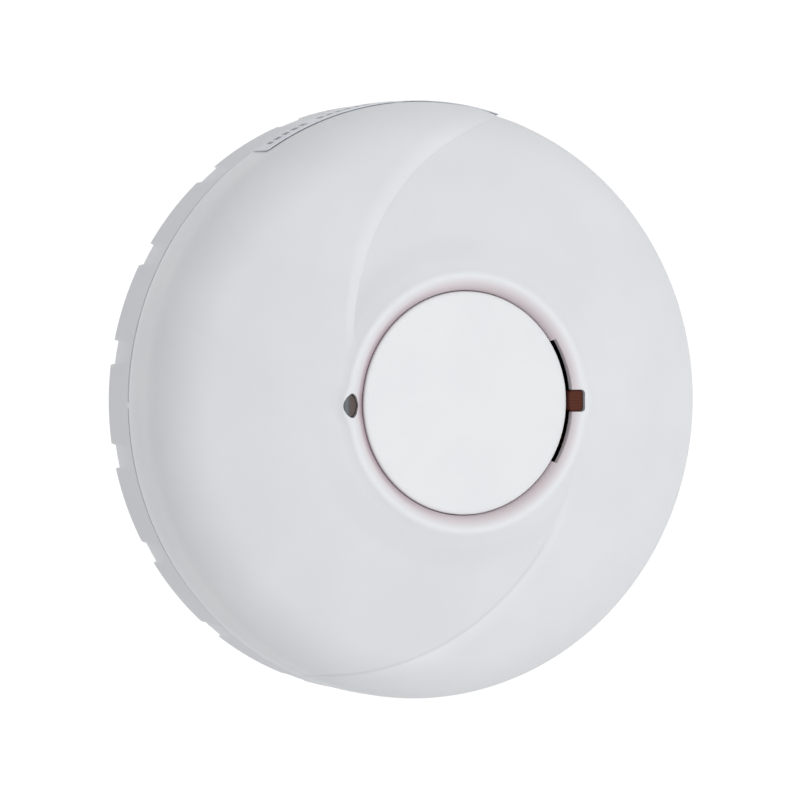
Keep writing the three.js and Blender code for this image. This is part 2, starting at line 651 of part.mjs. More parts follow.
function powerSwitchBody() {
  const halfX = sliderSlotX + POWER_SWITCH_SIDE;
  const halfY = sliderSlotY + POWER_SWITCH_SIDE;
  const bottom = chassisTop + CLEARANCE;
  const top = boardBottom - CLEARANCE;
  const housing = block(-halfX, halfX, -halfY, halfY, bottom, top);
  return cut(housing, block(-sliderSlotX, sliderSlotX, -sliderSlotY, sliderSlotY, bottom - 1, top - 1));
}

// Fork that straddles the base's peg, with a stem up into the power switch.
function powerSlider() {
  const prongTop = chassisBottom - RUNNING_CLEARANCE;
  const bridgeZ = hookTongueZ + 0.4 + CLEARANCE;
  const gap = PEG_RADIUS + CLEARANCE;
  const half = gap + PRONG;
  const fork = cut(
    block(-SLIDER_WIDTH / 2, SLIDER_WIDTH / 2, -half, half, plateTop + RUNNING_CLEARANCE, prongTop),
    block(-SLIDER_WIDTH, SLIDER_WIDTH, -gap, gap, 0, bridgeZ),
  );
  const stemTop = boardBottom - CLEARANCE - 1 - RUNNING_CLEARANCE;
  return join(fork, block(-STEM / 2, STEM / 2, -STEM / 2, STEM / 2, prongTop - 0.3, stemTop));
}

function battery() {
  const half = BATTERY_LENGTH / 2;
  const outline = [
    [0, -half], [BATTERY_RADIUS - 0.6, -half], [BATTERY_RADIUS, -half + 0.6],
    [BATTERY_RADIUS, half - 2], [BATTERY_RADIUS - 0.6, half - 1.4], [3.2, half - 1.4], [3.2, half], [0, half],
  ];
  return geometryOf(turned(outline, 32)).rotateY(Math.PI / 2);
}

// Nickel strip from one end of the cell to the board; side is +1 or -1 along X.
function batteryTag(side) {
  const inner = BATTERY_LENGTH / 2 + CLEARANCE;
  const footY = boardEdgeY + 0.5;
  const across = (reach) => [Math.min(side * inner, side * reach), Math.max(side * inner, side * reach)];
  const outer = inner + TAG_THICKNESS;
  const blade = block(...across(outer), batteryY - 2, footY + 2, onBoard, onBoard + TAG_WIDTH);
  const foot = block(...across(outer + 2), footY, footY + 2, onBoard, onBoard + TAG_THICKNESS);
  return join(blade, foot);
}

function batteryStrap() {
  const inner = BATTERY_RADIUS + CLEARANCE;
  const outer = inner + STRAP_THICKNESS;
  const footDrop = batteryZ - chassisTop - CLEARANCE;
  const shape = new THREE.Shape();
  shape.absarc(0, 0, outer, 0, Math.PI, false);
  shape.lineTo(-outer - 2, -footDrop + 1);
  shape.lineTo(-outer - 2, -footDrop);
  shape.lineTo(-panHalfY - 0.2, -footDrop);
  shape.lineTo(-inner, 0);
  shape.absarc(0, 0, inner, Math.PI, 0, true);
  shape.lineTo(panHalfY + 0.2, -footDrop);
  shape.lineTo(outer + 0.6, -footDrop);
  shape.closePath();
  const options = { depth: STRAP_WIDTH, bevelEnabled: false, curveSegments: 16 };
  const geometry = new THREE.ExtrudeGeometry(shape, options);
  return solid(geometry.translate(0, 0, -STRAP_WIDTH / 2).rotateX(Math.PI / 2).rotateZ(Math.PI / 2));
}

// ---------------------------------------------------------------- smoke chamber

function chamberBase() {
  const dish = turned([
    [0, 0], [CHAMBER_RADIUS, 0], [CHAMBER_RADIUS, CHAMBER_BASE_HEIGHT], [0, CHAMBER_BASE_HEIGHT],
  ], 36);
  const cradles = Object.values(OPTIC_ANGLES).map((degrees) => {
    const half = OPTIC_RADIUS + 0.8;
    const cradle = new THREE.BoxGeometry(OPTIC_LENGTH - 1, 2 * half, 0.7);
    cradle.translate(CHAMBER_RADIUS - CHAMBER_WALL - OPTIC_LENGTH / 2 - 1.5, 0, CHAMBER_BASE_HEIGHT + 0.1);
    return solid(cradle.rotateZ(radians(degrees)));
  });
  return join(dish, ...cradles);
}

function chamberCap() {
  const outer = CHAMBER_RADIUS - SCREEN_THICKNESS - CLEARANCE;
  const inner = outer - CHAMBER_WALL;
  const bottom = CHAMBER_BASE_HEIGHT + CLEARANCE;
  const top = CHAMBER_HEIGHT;
  const cup = turned([
    [inner, bottom], [outer, bottom], [outer, top - 0.8], [outer - 0.8, top],
    [0, top], [0, top - CHAMBER_WALL], [inner, top - CHAMBER_WALL],
  ], 48);
  const slots = [];
  for (let i = 0; i < CHAMBER_SLOTS; i += 1) {
    const cutter = new THREE.BoxGeometry(4, CHAMBER_SLOT_WIDTH, top - bottom - 3.4);
    cutter.translate(outer - 0.5, 0, (bottom + top) / 2).rotateZ(2 * Math.PI * i / CHAMBER_SLOTS);
    slots.push(solid(cutter));
  }
  return cut(cup, ...slots);
}

function insectScreen() {
  const outer = CHAMBER_RADIUS;
  const inner = outer - SCREEN_THICKNESS;
  const bottom = CHAMBER_BASE_HEIGHT + CLEARANCE;
  const top = CHAMBER_HEIGHT - 1.2;
  return turned([[inner, bottom], [outer, bottom], [outer, top], [inner, top]], 48);
}

function opticalPart() {
  const r = OPTIC_RADIUS;
  const length = OPTIC_LENGTH;
  const outline = [
    [0, 0], [r + 0.4, 0], [r + 0.4, 0.8], [r, 0.8], [r, length - r],
    [r * 0.7, length - r * 0.3], [0, length],
  ];
  return geometryOf(turned(outline, 16)).rotateY(-Math.PI / 2);
}

// ---------------------------------------------------------------- sounder

function sounderHousing() {
  const outer = SOUNDER_RADIUS;
  const inner = outer - SOUNDER_WALL;
  const top = SOUNDER_HEIGHT;
  return turned([
    [inner, 0], [outer, 0], [outer, top - 0.8], [outer - 0.8, top],
    [SOUNDER_PORT_RADIUS, top], [SOUNDER_PORT_RADIUS, top - SOUNDER_WALL], [inner, top - SOUNDER_WALL],
  ], 48);
}

function sounderContact() {
  const rise = PIEZO_LIFT - CLEARANCE;
  const shape = new THREE.Shape();
  shape.moveTo(0, 0);
  shape.lineTo(2, 0);
  shape.lineTo(2, 0.3);
  shape.lineTo(0.8, 0.3);
  shape.lineTo(4.6, rise - 0.3);
  shape.lineTo(6, rise - 0.3);
  shape.lineTo(6, rise);
  shape.lineTo(4.4, rise);
  shape.lineTo(0, 0.3);
  shape.closePath();
  const geometry = new THREE.ExtrudeGeometry(shape, { depth: 1.6, bevelEnabled: false });
  return geometry.rotateX(Math.PI / 2).translate(0, 0.8, 0);
}

// ---------------------------------------------------------------- small parts on the board

function statusLed() {
  return turned([
    [0, 0], [1.9, 0], [1.9, 0.8], [1.5, 0.8], [1.5, LED_HEIGHT - 1.5], [1.1, LED_HEIGHT - 0.4], [0, LED_HEIGHT],
  ], 16);
}

function standingCan(radius, height) {
  return turned([
    [0, 0], [radius, 0], [radius, height - 0.4], [radius - 0.4, height],
    [radius - 0.9, height], [radius - 0.9, height - 0.2], [0, height - 0.2],
  ], SMALL_ROUND);
}

function boostCoil() {
  return turned([
    [0, 0], [4.5, 0], [4.5, 1.2], [3.6, 1.2], [3.6, 5.8], [4.5, 5.8], [4.5, 7], [0, 7],
  ], SMALL_ROUND);
}

// ---------------------------------------------------------------- assembly

piece('mounting_base', mountingBase(), basePlastic);

piece('front_cover', frontCover(), coverPlastic);
piece('warning_label', labelBand(), labelPaper);
piece('status_light_guide', statusLightGuide(), clearPlastic, [statusX, 0, 0]);
piece('tinted_window', tintedLightGuide(), tintedPlastic, [tintedX, 0, 0]);

piece('rear_chassis', rearChassis(), chassisPlastic);
caseScrewPlaces.forEach(([x, y], i) => piece(`case_screw_${i + 1}`, caseScrew(), steel, [x, y, caseScrewZ]));

piece('circuit_board', circuitBoard(), boardLaminate);
STANDOFF_PLACES.forEach(([x, y], i) => piece(`board_screw_${i + 1}`, boardScrew(), steel, [x, y, onBoard]));

piece('smoke_chamber_base', chamberBase(), blackPlastic, [0, 0, onBoard]);
piece('smoke_chamber_cap', chamberCap(), blackPlastic, [0, 0, onBoard]);
piece('insect_screen', insectScreen(), steel, [0, 0, onBoard]);
const opticZ = onBoard + CHAMBER_BASE_HEIGHT + 0.45 + CLEARANCE + OPTIC_RADIUS + 0.4;
const opticDistance = CHAMBER_RADIUS - SCREEN_THICKNESS - CHAMBER_WALL - 3 * CLEARANCE;
for (const [name, degrees] of Object.entries(OPTIC_ANGLES)) {
  const [x, y] = polar(opticDistance, degrees);
  piece(name, opticalPart(), name === 'photodiode' ? blackPlastic : clearPlastic, [x, y, opticZ], radians(degrees));
}

piece('sounder_housing', sounderHousing(), blackPlastic, [0, sounderY, onBoard]);
const piezoRadius = SOUNDER_RADIUS - SOUNDER_WALL - RUNNING_CLEARANCE;
piece('piezo_disc', disc(piezoRadius, PIEZO_LIFT, PIEZO_LIFT + PIEZO_THICKNESS, 36), brass, [0, sounderY, onBoard]);
piece('sounder_contact_1', sounderContact(), steel, [1, sounderY, onBoard]);
piece('sounder_contact_2', sounderContact(), steel, [-1, sounderY, onBoard], Math.PI);

piece('battery', battery(), batterySleeve, [0, batteryY, batteryZ]);
piece('battery_tag_1', batteryTag(1), steel);
piece('battery_tag_2', batteryTag(-1), steel);
piece('battery_strap', batteryStrap(), chassisPlastic, [0, batteryY, batteryZ]);

const [switchX, switchY] = polar(switchDistance, SWITCH_ANGLE);
piece('test_switch_body', testSwitchBody(), blackPlastic, [switchX, switchY, onBoard], radians(SWITCH_ANGLE));
piece('power_switch_body', powerSwitchBody(), blackPlastic, [sliderX, 0, 0]);
piece('status_led', statusLed(), clearPlastic, [statusX, 0, onBoard]);
piece('light_sensor', block(-1.5, 1.5, -1.5, 1.5, 0, TINTED_HEAD_HEIGHT - CLEARANCE), blackPlastic,
  [tintedX + 0.3, 0, onBoard]);
piece('microcontroller', block(-3.5, 3.5, -3.5, 3.5, 0, 1.4), blackPlastic, [-27, -8, onBoard]);
piece('boost_coil', boostCoil(), copperWire, [29, -7, onBoard]);
piece('capacitor_1', standingCan(3.2, 9), blackPlastic, [27, 17, onBoard]);
piece('capacitor_2', standingCan(2.5, 7), blackPlastic, [-26, 17, onBoard]);

piece('test_button', testButton(), buttonPlastic);
piece('button_spring', buttonSpring(), steel);
piece('test_switch_plunger', testSwitchPlunger(), basePlastic, [switchX, switchY, onBoard]);
piece('power_slider', powerSlider(), chassisPlastic, [sliderX, -sliderHalfTravel, 0]);

export default model;
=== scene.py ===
# %% [markdown]
# # A twist-off smoke alarm
# A round white alarm: a domed front cover with two swooping ridges, a large
# test button in the middle, a small oval status window on the left of the
# button, a red-brown window on the right, and a notched base for the wall.
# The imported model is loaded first, so that every new piece can be placed by it.

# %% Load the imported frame
import math
import bpy
from mathutils import Matrix, Vector


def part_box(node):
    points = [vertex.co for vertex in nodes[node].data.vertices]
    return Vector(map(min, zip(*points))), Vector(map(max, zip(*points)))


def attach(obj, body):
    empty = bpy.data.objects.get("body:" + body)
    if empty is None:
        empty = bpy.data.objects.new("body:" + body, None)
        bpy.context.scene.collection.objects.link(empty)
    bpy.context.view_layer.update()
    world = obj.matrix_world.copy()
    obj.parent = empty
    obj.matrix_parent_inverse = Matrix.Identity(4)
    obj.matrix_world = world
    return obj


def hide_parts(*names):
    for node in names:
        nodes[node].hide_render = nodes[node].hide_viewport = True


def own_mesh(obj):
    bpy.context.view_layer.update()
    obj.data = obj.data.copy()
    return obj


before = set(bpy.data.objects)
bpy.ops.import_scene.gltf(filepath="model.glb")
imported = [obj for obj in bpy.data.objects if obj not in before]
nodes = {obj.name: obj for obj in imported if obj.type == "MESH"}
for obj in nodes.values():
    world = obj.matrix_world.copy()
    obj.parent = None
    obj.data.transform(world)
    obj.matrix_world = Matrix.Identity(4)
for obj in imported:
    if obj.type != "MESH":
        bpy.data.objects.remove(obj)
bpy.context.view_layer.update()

MM = 0.001
print("nodes in the frame:", len(nodes))

# %% [markdown]
# ## Measures shared by the pieces
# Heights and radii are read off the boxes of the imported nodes, so a piece that
# is modelled anew starts at the size its node has. Everything is in
# millimetres here and is turned into metres where the mesh is made.

# %% Read the sizes of the main nodes
def box_mm(node):
    """Lowest and highest corner of a node in millimetres."""
    low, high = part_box(node)
    return low / MM, high / MM


_, cover_high = box_mm("front_cover")
_, base_high = box_mm("mounting_base")
button_low, button_high = box_mm("test_button")

cover_radius = cover_high.x
base_radius = base_high.x
crest_z = cover_high.z
base_top = base_high.z
seam_z = base_top + 0.4
button_radius = button_high.x
button_edge_z = button_high.z - 0.35
lip_radius = button_radius + 2.8
print(f"cover radius {cover_radius:.1f}, height {crest_z:.1f}, button radius {button_radius:.1f} mm")

# %% [markdown]
# ## Modelling helpers
# The same few hand moves come back for every piece: deselect everything, add
# a primitive, go into edit mode, draw, extrude, spin. Each helper does one of
# them, and leaves the piece at the origin with its place in its mesh.

# %% Helpers for selecting
def start_clean():
    """Leave edit mode and deselect everything."""
    if bpy.context.object and bpy.context.object.mode != "OBJECT":
        bpy.ops.object.mode_set(mode="OBJECT")
    bpy.ops.object.select_all(action="DESELECT")


def edit(kind="VERT"):
    bpy.ops.object.mode_set(mode="EDIT")
    bpy.ops.mesh.select_mode(type=kind)


def finish_edit():
    bpy.ops.object.mode_set(mode="OBJECT")


def make_active(piece):
    start_clean()
    piece.select_set(True)
    bpy.context.view_layer.objects.active = piece


def pick(piece, test, kind="VERT"):
    """In edit mode, select only what passes the test, which is given the element in millimetres."""
    edit(kind)
    bpy.ops.mesh.select_all(action="DESELECT")
    finish_edit()
    mesh = piece.data
    if kind == "VERT":
        for vertex in mesh.vertices:
            vertex.select = test(vertex.co / MM)
    elif kind == "EDGE":
        for line in mesh.edges:
            a, b = (mesh.vertices[i].co / MM for i in line.vertices)
            line.select = test((a + b) / 2)
    else:
        for face in mesh.polygons:
            face.select = test(face.center / MM, face.normal)
    edit(kind)


# %% Helpers for drawing and spinning
def pencil(name, start):
    """A piece that is one vertex, ready to be extruded into a line."""
    start_clean()
    bpy.ops.mesh.primitive_plane_add(size=MM)
    piece = bpy.context.object
    piece.name = name
    edit()
    bpy.ops.mesh.merge(type="CENTER")
    bpy.ops.transform.translate(value=Vector(start) * MM)
    return piece


def draw_line(points):
    """Extrude the last vertex from point to point."""
    for before, after in zip(points, points[1:]):
        step = (Vector(after) - Vector(before)) * MM
        bpy.ops.mesh.extrude_region_move(TRANSFORM_OT_translate={"value": step})


def tidy_mesh(smooth=30):
    """Merge doubles, turn the faces outwards, and shade smooth between soft edges."""
    finish_edit()
    edit()
    bpy.ops.mesh.select_all(action="SELECT")
    bpy.ops.mesh.remove_doubles(threshold=0.002 * MM)
    bpy.ops.mesh.normals_make_consistent(inside=False)
    finish_edit()
    bpy.ops.object.shade_smooth_by_angle(angle=math.radians(smooth))


def turned(name, outline, steps=128, sweep=360, start=0, smooth=30):
    """Draw half a section as [radius, height] points and spin it round Z."""
    points = [Vector((r, 0, z)) for r, z in outline]
    points.append(points[0])
    piece = pencil(name, points[0])
    draw_line(points)
    bpy.ops.mesh.select_all(action="SELECT")
    if sweep < 360:
        bpy.ops.mesh.remove_doubles(threshold=0.002 * MM)
        bpy.ops.mesh.edge_face_add()
        turn(start)
    bpy.ops.mesh.spin(steps=steps, angle=-math.radians(sweep), center=(0, 0, 0), axis=(0, 0, 1))
    tidy_mesh(smooth)
    return piece


def turn(degrees, centre=(0, 0, 0), axis="Z"):
    """Rotate the selection anticlockwise, as seen from the tip of the axis."""
    bpy.ops.transform.rotate(value=-math.radians(degrees), orient_axis=axis, center_override=centre)


def shift(x=0, y=0, z=0):
    bpy.ops.transform.translate(value=Vector((x, y, z)) * MM)


def move_piece(piece, x=0, y=0, z=0):
    make_active(piece)
    edit()
    bpy.ops.mesh.select_all(action="SELECT")
    shift(x, y, z)
    finish_edit()
    return piece


# %% Helpers for blocks, plates and cutting
def block(name, low, high):
    """A box between two corners, in millimetres."""
    start_clean()
    bpy.ops.mesh.primitive_cube_add(size=MM)
    piece = bpy.context.object
    piece.name = name
    edit()
    size = Vector(high) - Vector(low)
    bpy.ops.transform.resize(value=size, center_override=(0, 0, 0))
    shift(*((Vector(low) + Vector(high)) / 2))
    finish_edit()
    return piece


def plate(name, corners, low, high, rounding=0, segments=6):
    """Draw a flat outline, round its corners, and extrude it upwards."""
    points = [Vector((x, y, low)) for x, y in corners]
    points.append(points[0])
    piece = pencil(name, points[0])
    draw_line(points)
    bpy.ops.mesh.select_all(action="SELECT")
    bpy.ops.mesh.remove_doubles(threshold=0.002 * MM)
    bpy.ops.mesh.edge_face_add()
    if rounding:
        bpy.ops.mesh.bevel(offset=rounding * MM, segments=segments, affect="VERTICES")
        bpy.ops.mesh.select_all(action="SELECT")
    bpy.ops.mesh.extrude_region_move(TRANSFORM_OT_translate={"value": (0, 0, (high - low) * MM)})
    tidy_mesh()
    return piece


def round_off(piece, width, segments=2, angle=35):
    """Bevel every edge sharper than the angle."""
    make_active(piece)
    edges = piece.modifiers.new("edges", "BEVEL")
    edges.width = width * MM
    edges.segments = segments
    edges.limit_method = "ANGLE"
    edges.angle_limit = math.radians(angle)
    bpy.ops.object.modifier_apply(modifier=edges.name)
    bpy.ops.object.shade_smooth_by_angle(angle=math.radians(30))
    return piece


def boolean(piece, tool, operation="DIFFERENCE"):
    make_active(piece)
    cut = piece.modifiers.new("cut", "BOOLEAN")
    cut.operation = operation
    cut.solver = "EXACT"
    cut.object = tool
    bpy.ops.object.modifier_apply(modifier=cut.name)
    bpy.data.objects.remove(tool)
    return piece


def merge_pieces(first, *others):
    make_active(first)
    for other in others:
        other.select_set(True)
    bpy.ops.object.join()
    return first


def copies_round(piece, angles):
    """Copies of a piece, each with its own mesh, turned about Z to the given angles."""
    made = []
    for degrees in angles:
        make_active(piece)
        bpy.ops.object.duplicate()
        copy = bpy.context.object
        edit()
        bpy.ops.mesh.select_all(action="SELECT")
        turn(degrees)
        finish_edit()
        made.append(copy)
    bpy.data.objects.remove(piece)
    return made


def stand_for(piece, node, body="alarm"):
    """The piece rides on its body and hides its node."""
    piece.name = node + "_shape"
    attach(piece, body)
    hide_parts(node)
    print(f"{piece.name}: {len(piece.data.polygons)} faces")


# %% [markdown]
# ## Camera
# A long lens one metre away looks at the front from its left, so the dome
# covers most of the side. A small lens shift puts the alarm where it belongs
# in the frame, and a slight roll turns it with the horizon.

# %% Camera
IMAGE_WIDTH = 800
AZIMUTH = -24.365
ELEVATION = 1.728
ROLL = 0.489
DISTANCE = 1.0
FOCAL_WIDTHS = 5955.3 / IMAGE_WIDTH
AIM_HEIGHT = 18

azimuth, elevation, roll = (math.radians(a) for a in (AZIMUTH, ELEVATION, ROLL))
back = Vector((math.sin(azimuth) * math.cos(elevation), math.sin(elevation),
               math.cos(azimuth) * math.cos(elevation)))
right = Vector((0, 1, 0)).cross(back).normalized()
up = back.cross(right)
right, up = right * math.cos(roll) - up * math.sin(roll), right * math.sin(roll) + up * math.cos(roll)

start_clean()
bpy.ops.object.camera_add()
camera = bpy.context.object
camera.name = "front_left_camera"
camera.matrix_world = Matrix.Translation(back * DISTANCE + Vector((0, 0, AIM_HEIGHT * MM))) @ Matrix(
    (right, up, back)).transposed().to_4x4()
camera.data.sensor_width = 36
camera.data.lens = 36 * FOCAL_WIDTHS
camera.data.shift_x = -24.9 / IMAGE_WIDTH
camera.data.shift_y = 0.6 / IMAGE_WIDTH
bpy.context.scene.camera = camera
print(f"lens {camera.data.lens:.0f} mm")

# %% [markdown]
# ## Finishes
# Each finish is a small node tree on the shader. Patterns read Object
# coordinates, which are metres here, so a scale of 1000 is one cell a
# millimetre. What is the same all over is set on the shader's own socket.

# %% Helpers for finishes
def new_finish(name):
    """A material, its node tree, its shader, and the Object coordinates."""
    finish = bpy.data.materials.new(name)
    finish.use_nodes = True
    tree = finish.node_tree
    shader = tree.nodes["Principled BSDF"]
    place = tree.nodes.new("ShaderNodeTexCoord").outputs["Object"]
    return finish, tree, shader, place


def noise(tree, place, cell, detail=2.0):
    """Noise whose cells are about the given number of millimetres."""
    node = tree.nodes.new("ShaderNodeTexNoise")
    node.inputs["Scale"].default_value = 1 / (cell * MM)
    node.inputs["Detail"].default_value = detail
    tree.links.new(place, node.inputs["Vector"])
    return node.outputs["Fac"]


def ramp(tree, source, stops):
    """Colour ramp through (position, colour) stops."""
    node = tree.nodes.new("ShaderNodeValToRGB")
    band = node.color_ramp
    while len(band.elements) < len(stops):
        band.elements.new(0.5)
    for element, (position, colour) in zip(band.elements, stops):
        element.position = position
        element.color = (*colour, 1)
    tree.links.new(source, node.inputs["Fac"])
    return node.outputs["Color"]


def spread(tree, source, low, high, from_low=0.3, from_high=0.7):
    """Map a pattern to a range of values."""
    node = tree.nodes.new("ShaderNodeMapRange")
    node.inputs["From Min"].default_value = from_low
    node.inputs["From Max"].default_value = from_high
    node.inputs["To Min"].default_value = low
    node.inputs["To Max"].default_value = high
    tree.links.new(source, node.inputs["Value"])
    return node.outputs["Result"]


def sums(tree, operation, first, second=None):
    node = tree.nodes.new("ShaderNodeMath")
    node.operation = operation
    for socket, value in zip(node.inputs, (first, second)):
        if value is None:
            continue
        if isinstance(value, (int, float)):
            socket.default_value = value
        else:
            tree.links.new(value, socket)
    return node.outputs["Value"]


def bump(tree, shader, source, height, strength=1.0):
    """Raise the surface by up to the given number of millimetres."""
    node = tree.nodes.new("ShaderNodeBump")
    node.inputs["Distance"].default_value = height * MM
    node.inputs["Strength"].default_value = strength
    tree.links.new(source, node.inputs["Height"])
    tree.links.new(node.outputs["Normal"], shader.inputs["Normal"])


def blend_colours(tree, factor, first, second, blend="MIX"):
    node = tree.nodes.new("ShaderNodeMix")
    node.data_type = "RGBA"
    node.blend_type = blend
    tree.links.new(factor, node.inputs["Factor"])
    for socket, value in ((node.inputs[6], first), (node.inputs[7], second)):
        if isinstance(value, tuple):
            socket.default_value = (*value, 1)
        else:
            tree.links.new(value, socket)
    return node.outputs[2]


def axes(tree, place):
    node = tree.nodes.new("ShaderNodeSeparateXYZ")
    tree.links.new(place, node.inputs["Vector"])
    return node.outputs["X"], node.outputs["Y"], node.outputs["Z"]


def radius_of(tree, place):
    """Distance from the axis of the alarm, in metres."""
    x, y, _ = axes(tree, place)
    return sums(tree, "SQRT", sums(tree, "ADD", sums(tree, "MULTIPLY", x, x), sums(tree, "MULTIPLY", y, y)))


# %% [markdown]
# ### White plastics
# The mould for such a cover is spark-eroded, which leaves a fine, even grain
# of a few tenths of a millimetre. Two noises give the grain and a very slow
# change of tone, and roughness follows the grain so that the sheen breaks up.

# %% Moulded white plastic
def moulded_plastic(name, pale, deep, roughness, grain=0.35, height=0.012):
    finish, tree, shader, place = new_finish(name)
    fine = noise(tree, place, grain)
    tone = ramp(tree, noise(tree, place, 14, 3), [(0.35, deep), (0.65, pale)])
    tree.links.new(tone, shader.inputs["Base Color"])
    tree.links.new(spread(tree, fine, roughness - 0.06, roughness + 0.06), shader.inputs["Roughness"])
    bump(tree, shader, fine, height)
    shader.inputs["Specular IOR Level"].default_value = 0.35
    return finish, tree, shader, place, tone


base_plastic = moulded_plastic("base_plastic", (0.72, 0.73, 0.76), (0.70, 0.71, 0.74), 0.55)[0]
button_plastic = moulded_plastic("button_plastic", (0.83, 0.838, 0.848), (0.805, 0.815, 0.828), 0.5, 0.3)[0]
chassis_plastic = moulded_plastic("chassis_plastic", (0.74, 0.745, 0.75), (0.70, 0.705, 0.71), 0.5, 0.6)[0]

# %% [markdown]
# The cover has two additions, both partly painted shade. The rolled lip beside
# the button is painted with shade: a pinkish grey that darkens towards the
# button's edge, darker still on the left of the button. Along the foot of each
# ridge a darker mark stands for dust settled there together with painted shade
# in the crease, stronger at one ridge than the other; it is kept in an attribute
# of the mesh.

# %% Cover plastic
cover_plastic, tree, shader, place, tone = moulded_plastic(
    "cover_plastic", (0.80, 0.815, 0.83), (0.775, 0.79, 0.81), 0.5)
across, _, _ = axes(tree, place)
radius = radius_of(tree, place)
# Painted shade in the moat beside the button: a pinkish grey that darkens towards the button's edge, painted
# darker still on the left side of the button.
left_side_shade = spread(tree, sums(tree, "DIVIDE", across, radius), 1.0, 0.0, -1.0, -0.2)
lip_share = spread(tree, radius, 0.0, 1.0, button_radius * MM, lip_radius * MM)
painted_lip_shade = ramp(tree, lip_share, [
    (0.0, (0.63, 0.54, 0.565)), (0.45, (0.74, 0.685, 0.705)), (0.85, (0.80, 0.815, 0.83)),
])
deep_shade = sums(tree, "MULTIPLY", spread(tree, lip_share, 1.0, 0.0, 0.0, 0.55), left_side_shade)
painted_lip_shade = blend_colours(tree, deep_shade, painted_lip_shade, (0.24, 0.13, 0.16))
on_lip = sums(tree, "LESS_THAN", radius, (lip_radius + 0.1) * MM)
tone_with_lip_shade = blend_colours(tree, on_lip, tone, painted_lip_shade)
# Darker mark along the foot of each ridge: dust settled in the crease together with painted shade there.
foot_dust_and_shade = tree.nodes.new("ShaderNodeAttribute")
foot_dust_and_shade.attribute_name = "ridge_foot_dust_and_shade"
dusty_and_shaded = blend_colours(tree, foot_dust_and_shade.outputs["Fac"], tone_with_lip_shade, (0.62, 0.60, 0.61))
tree.links.new(dusty_and_shaded, shader.inputs["Base Color"])

# %% [markdown]
# ## Front cover
# The cover is one moulding. Its outside is a shape turned about the axis: an
# upright side, a round shoulder, a slightly full cone, and a lip that rolls
# over down to the button. It is built as a hand modeller would build a bowl:
# one circle, extruded up ring by ring. Each ring is also turned a little so
# that the columns of faces lean along the two swooping ridges.

# %% Where the ridges run
RIDGE_CIRCLE_RADIUS = 40.9
RIDGE_CIRCLE_DISTANCE = 21.6
RIDGE_CIRCLE_ANGLE = 20.3
RIDGE_INNER = 23.0
RIDGE_OUTER = 49.9
SECTORS = (187.4, 172.6)


def ridge_angle(radius):
    """Direction in which the foot of the first ridge is met at a distance from the axis."""
    r = min(max(radius, RIDGE_INNER), RIDGE_OUTER)
    d = RIDGE_CIRCLE_DISTANCE
    share = (r * r + d * d - RIDGE_CIRCLE_RADIUS ** 2) / (2 * r * d)
    return RIDGE_CIRCLE_ANGLE + math.degrees(math.acos(share))


def ridge_lean(radius):
    """Cosine of the angle between the ridge and the spoke it crosses."""
    step = 0.5
    change = math.radians(ridge_angle(radius + step) - ridge_angle(radius - step)) / (2 * step)
    return 1 / math.sqrt(1 + (radius * change) ** 2)


print(f"ridge runs from {ridge_angle(23.7):.0f} to {ridge_angle(49.7):.0f} degrees")

# %% Section of the cover
SIDE_TOP = seam_z + 6.4
SHOULDER = 12.5
SHOULDER_CENTRE = cover_radius - SHOULDER
SHOULDER_SWEEP = 65
WALL = 2.0
bore_radius = button_radius + 0.12
moat_depth = 2.0
collar_z = crest_z - moat_depth - 3.0


def shoulder_point(degrees, inset=0.0):
    a = math.radians(degrees)
    r = SHOULDER - inset
    return SHOULDER_CENTRE + r * math.cos(a), SIDE_TOP + r * math.sin(a)


def cone_points(steps=18, belly=0.35):
    """From the top of the shoulder to the foot of the lip, slightly full."""
    r0, z0 = shoulder_point(SHOULDER_SWEEP)
    r1, z1 = lip_radius + 1.0, crest_z - 0.35
    shares = [(i + 1) / steps for i in range(steps)]
    return [(r0 + (r1 - r0) * t, z0 + (z1 - z0) * t + belly * 4 * t * (1 - t)) for t in shares]


outside = [(cover_radius - 0.35, seam_z), (cover_radius - 0.1, seam_z + 0.1), (cover_radius, seam_z + 0.35)]
outside += [(cover_radius, seam_z + h) for h in (1.2, 2.4, 3.6, 5.0)]
outside += [shoulder_point(a) for a in range(0, SHOULDER_SWEEP + 1, 5)]
outside += cone_points()
outside += [(lip_radius + 0.75, crest_z - 0.2), (lip_radius + 0.45, crest_z - 0.07), (lip_radius, crest_z)]
roll_width = lip_radius - bore_radius
outside += [(lip_radius - roll_width * math.sin(math.radians(a)), crest_z - moat_depth
             + moat_depth * math.cos(math.radians(a))) for a in range(9, 91, 9)]

inside = [(bore_radius, collar_z + 0.2), (bore_radius + 0.2, collar_z), (bore_radius + 1.6, collar_z),
          (bore_radius + 1.6, crest_z - 4.2), (lip_radius + 1.2, crest_z - 3.2)]
inside += [shoulder_point(a, WALL) for a in range(SHOULDER_SWEEP, -1, -13)]
inside += [(cover_radius - WALL, seam_z)]
section = outside + inside
print("points in the section:", len(section))

# %% Extrude the cover ring by ring
COLUMNS = 240
FINE_CUTS = 7
FINE_REACH = 9

start_clean()
first_radius, first_z = section[0]
bpy.ops.mesh.primitive_circle_add(vertices=COLUMNS, radius=first_radius * MM, location=(0, 0, 0))
cover = bpy.context.object
start_angle = ridge_angle(first_radius)


def near_ridge(point):
    """True for an edge of the first ring that a ridge will start from."""
    past = (start_angle - math.degrees(math.atan2(point.y, point.x))) % 360
    return any(abs((past - foot + 180) % 360 - 180) < FINE_REACH for foot in (0, SECTORS[0]))


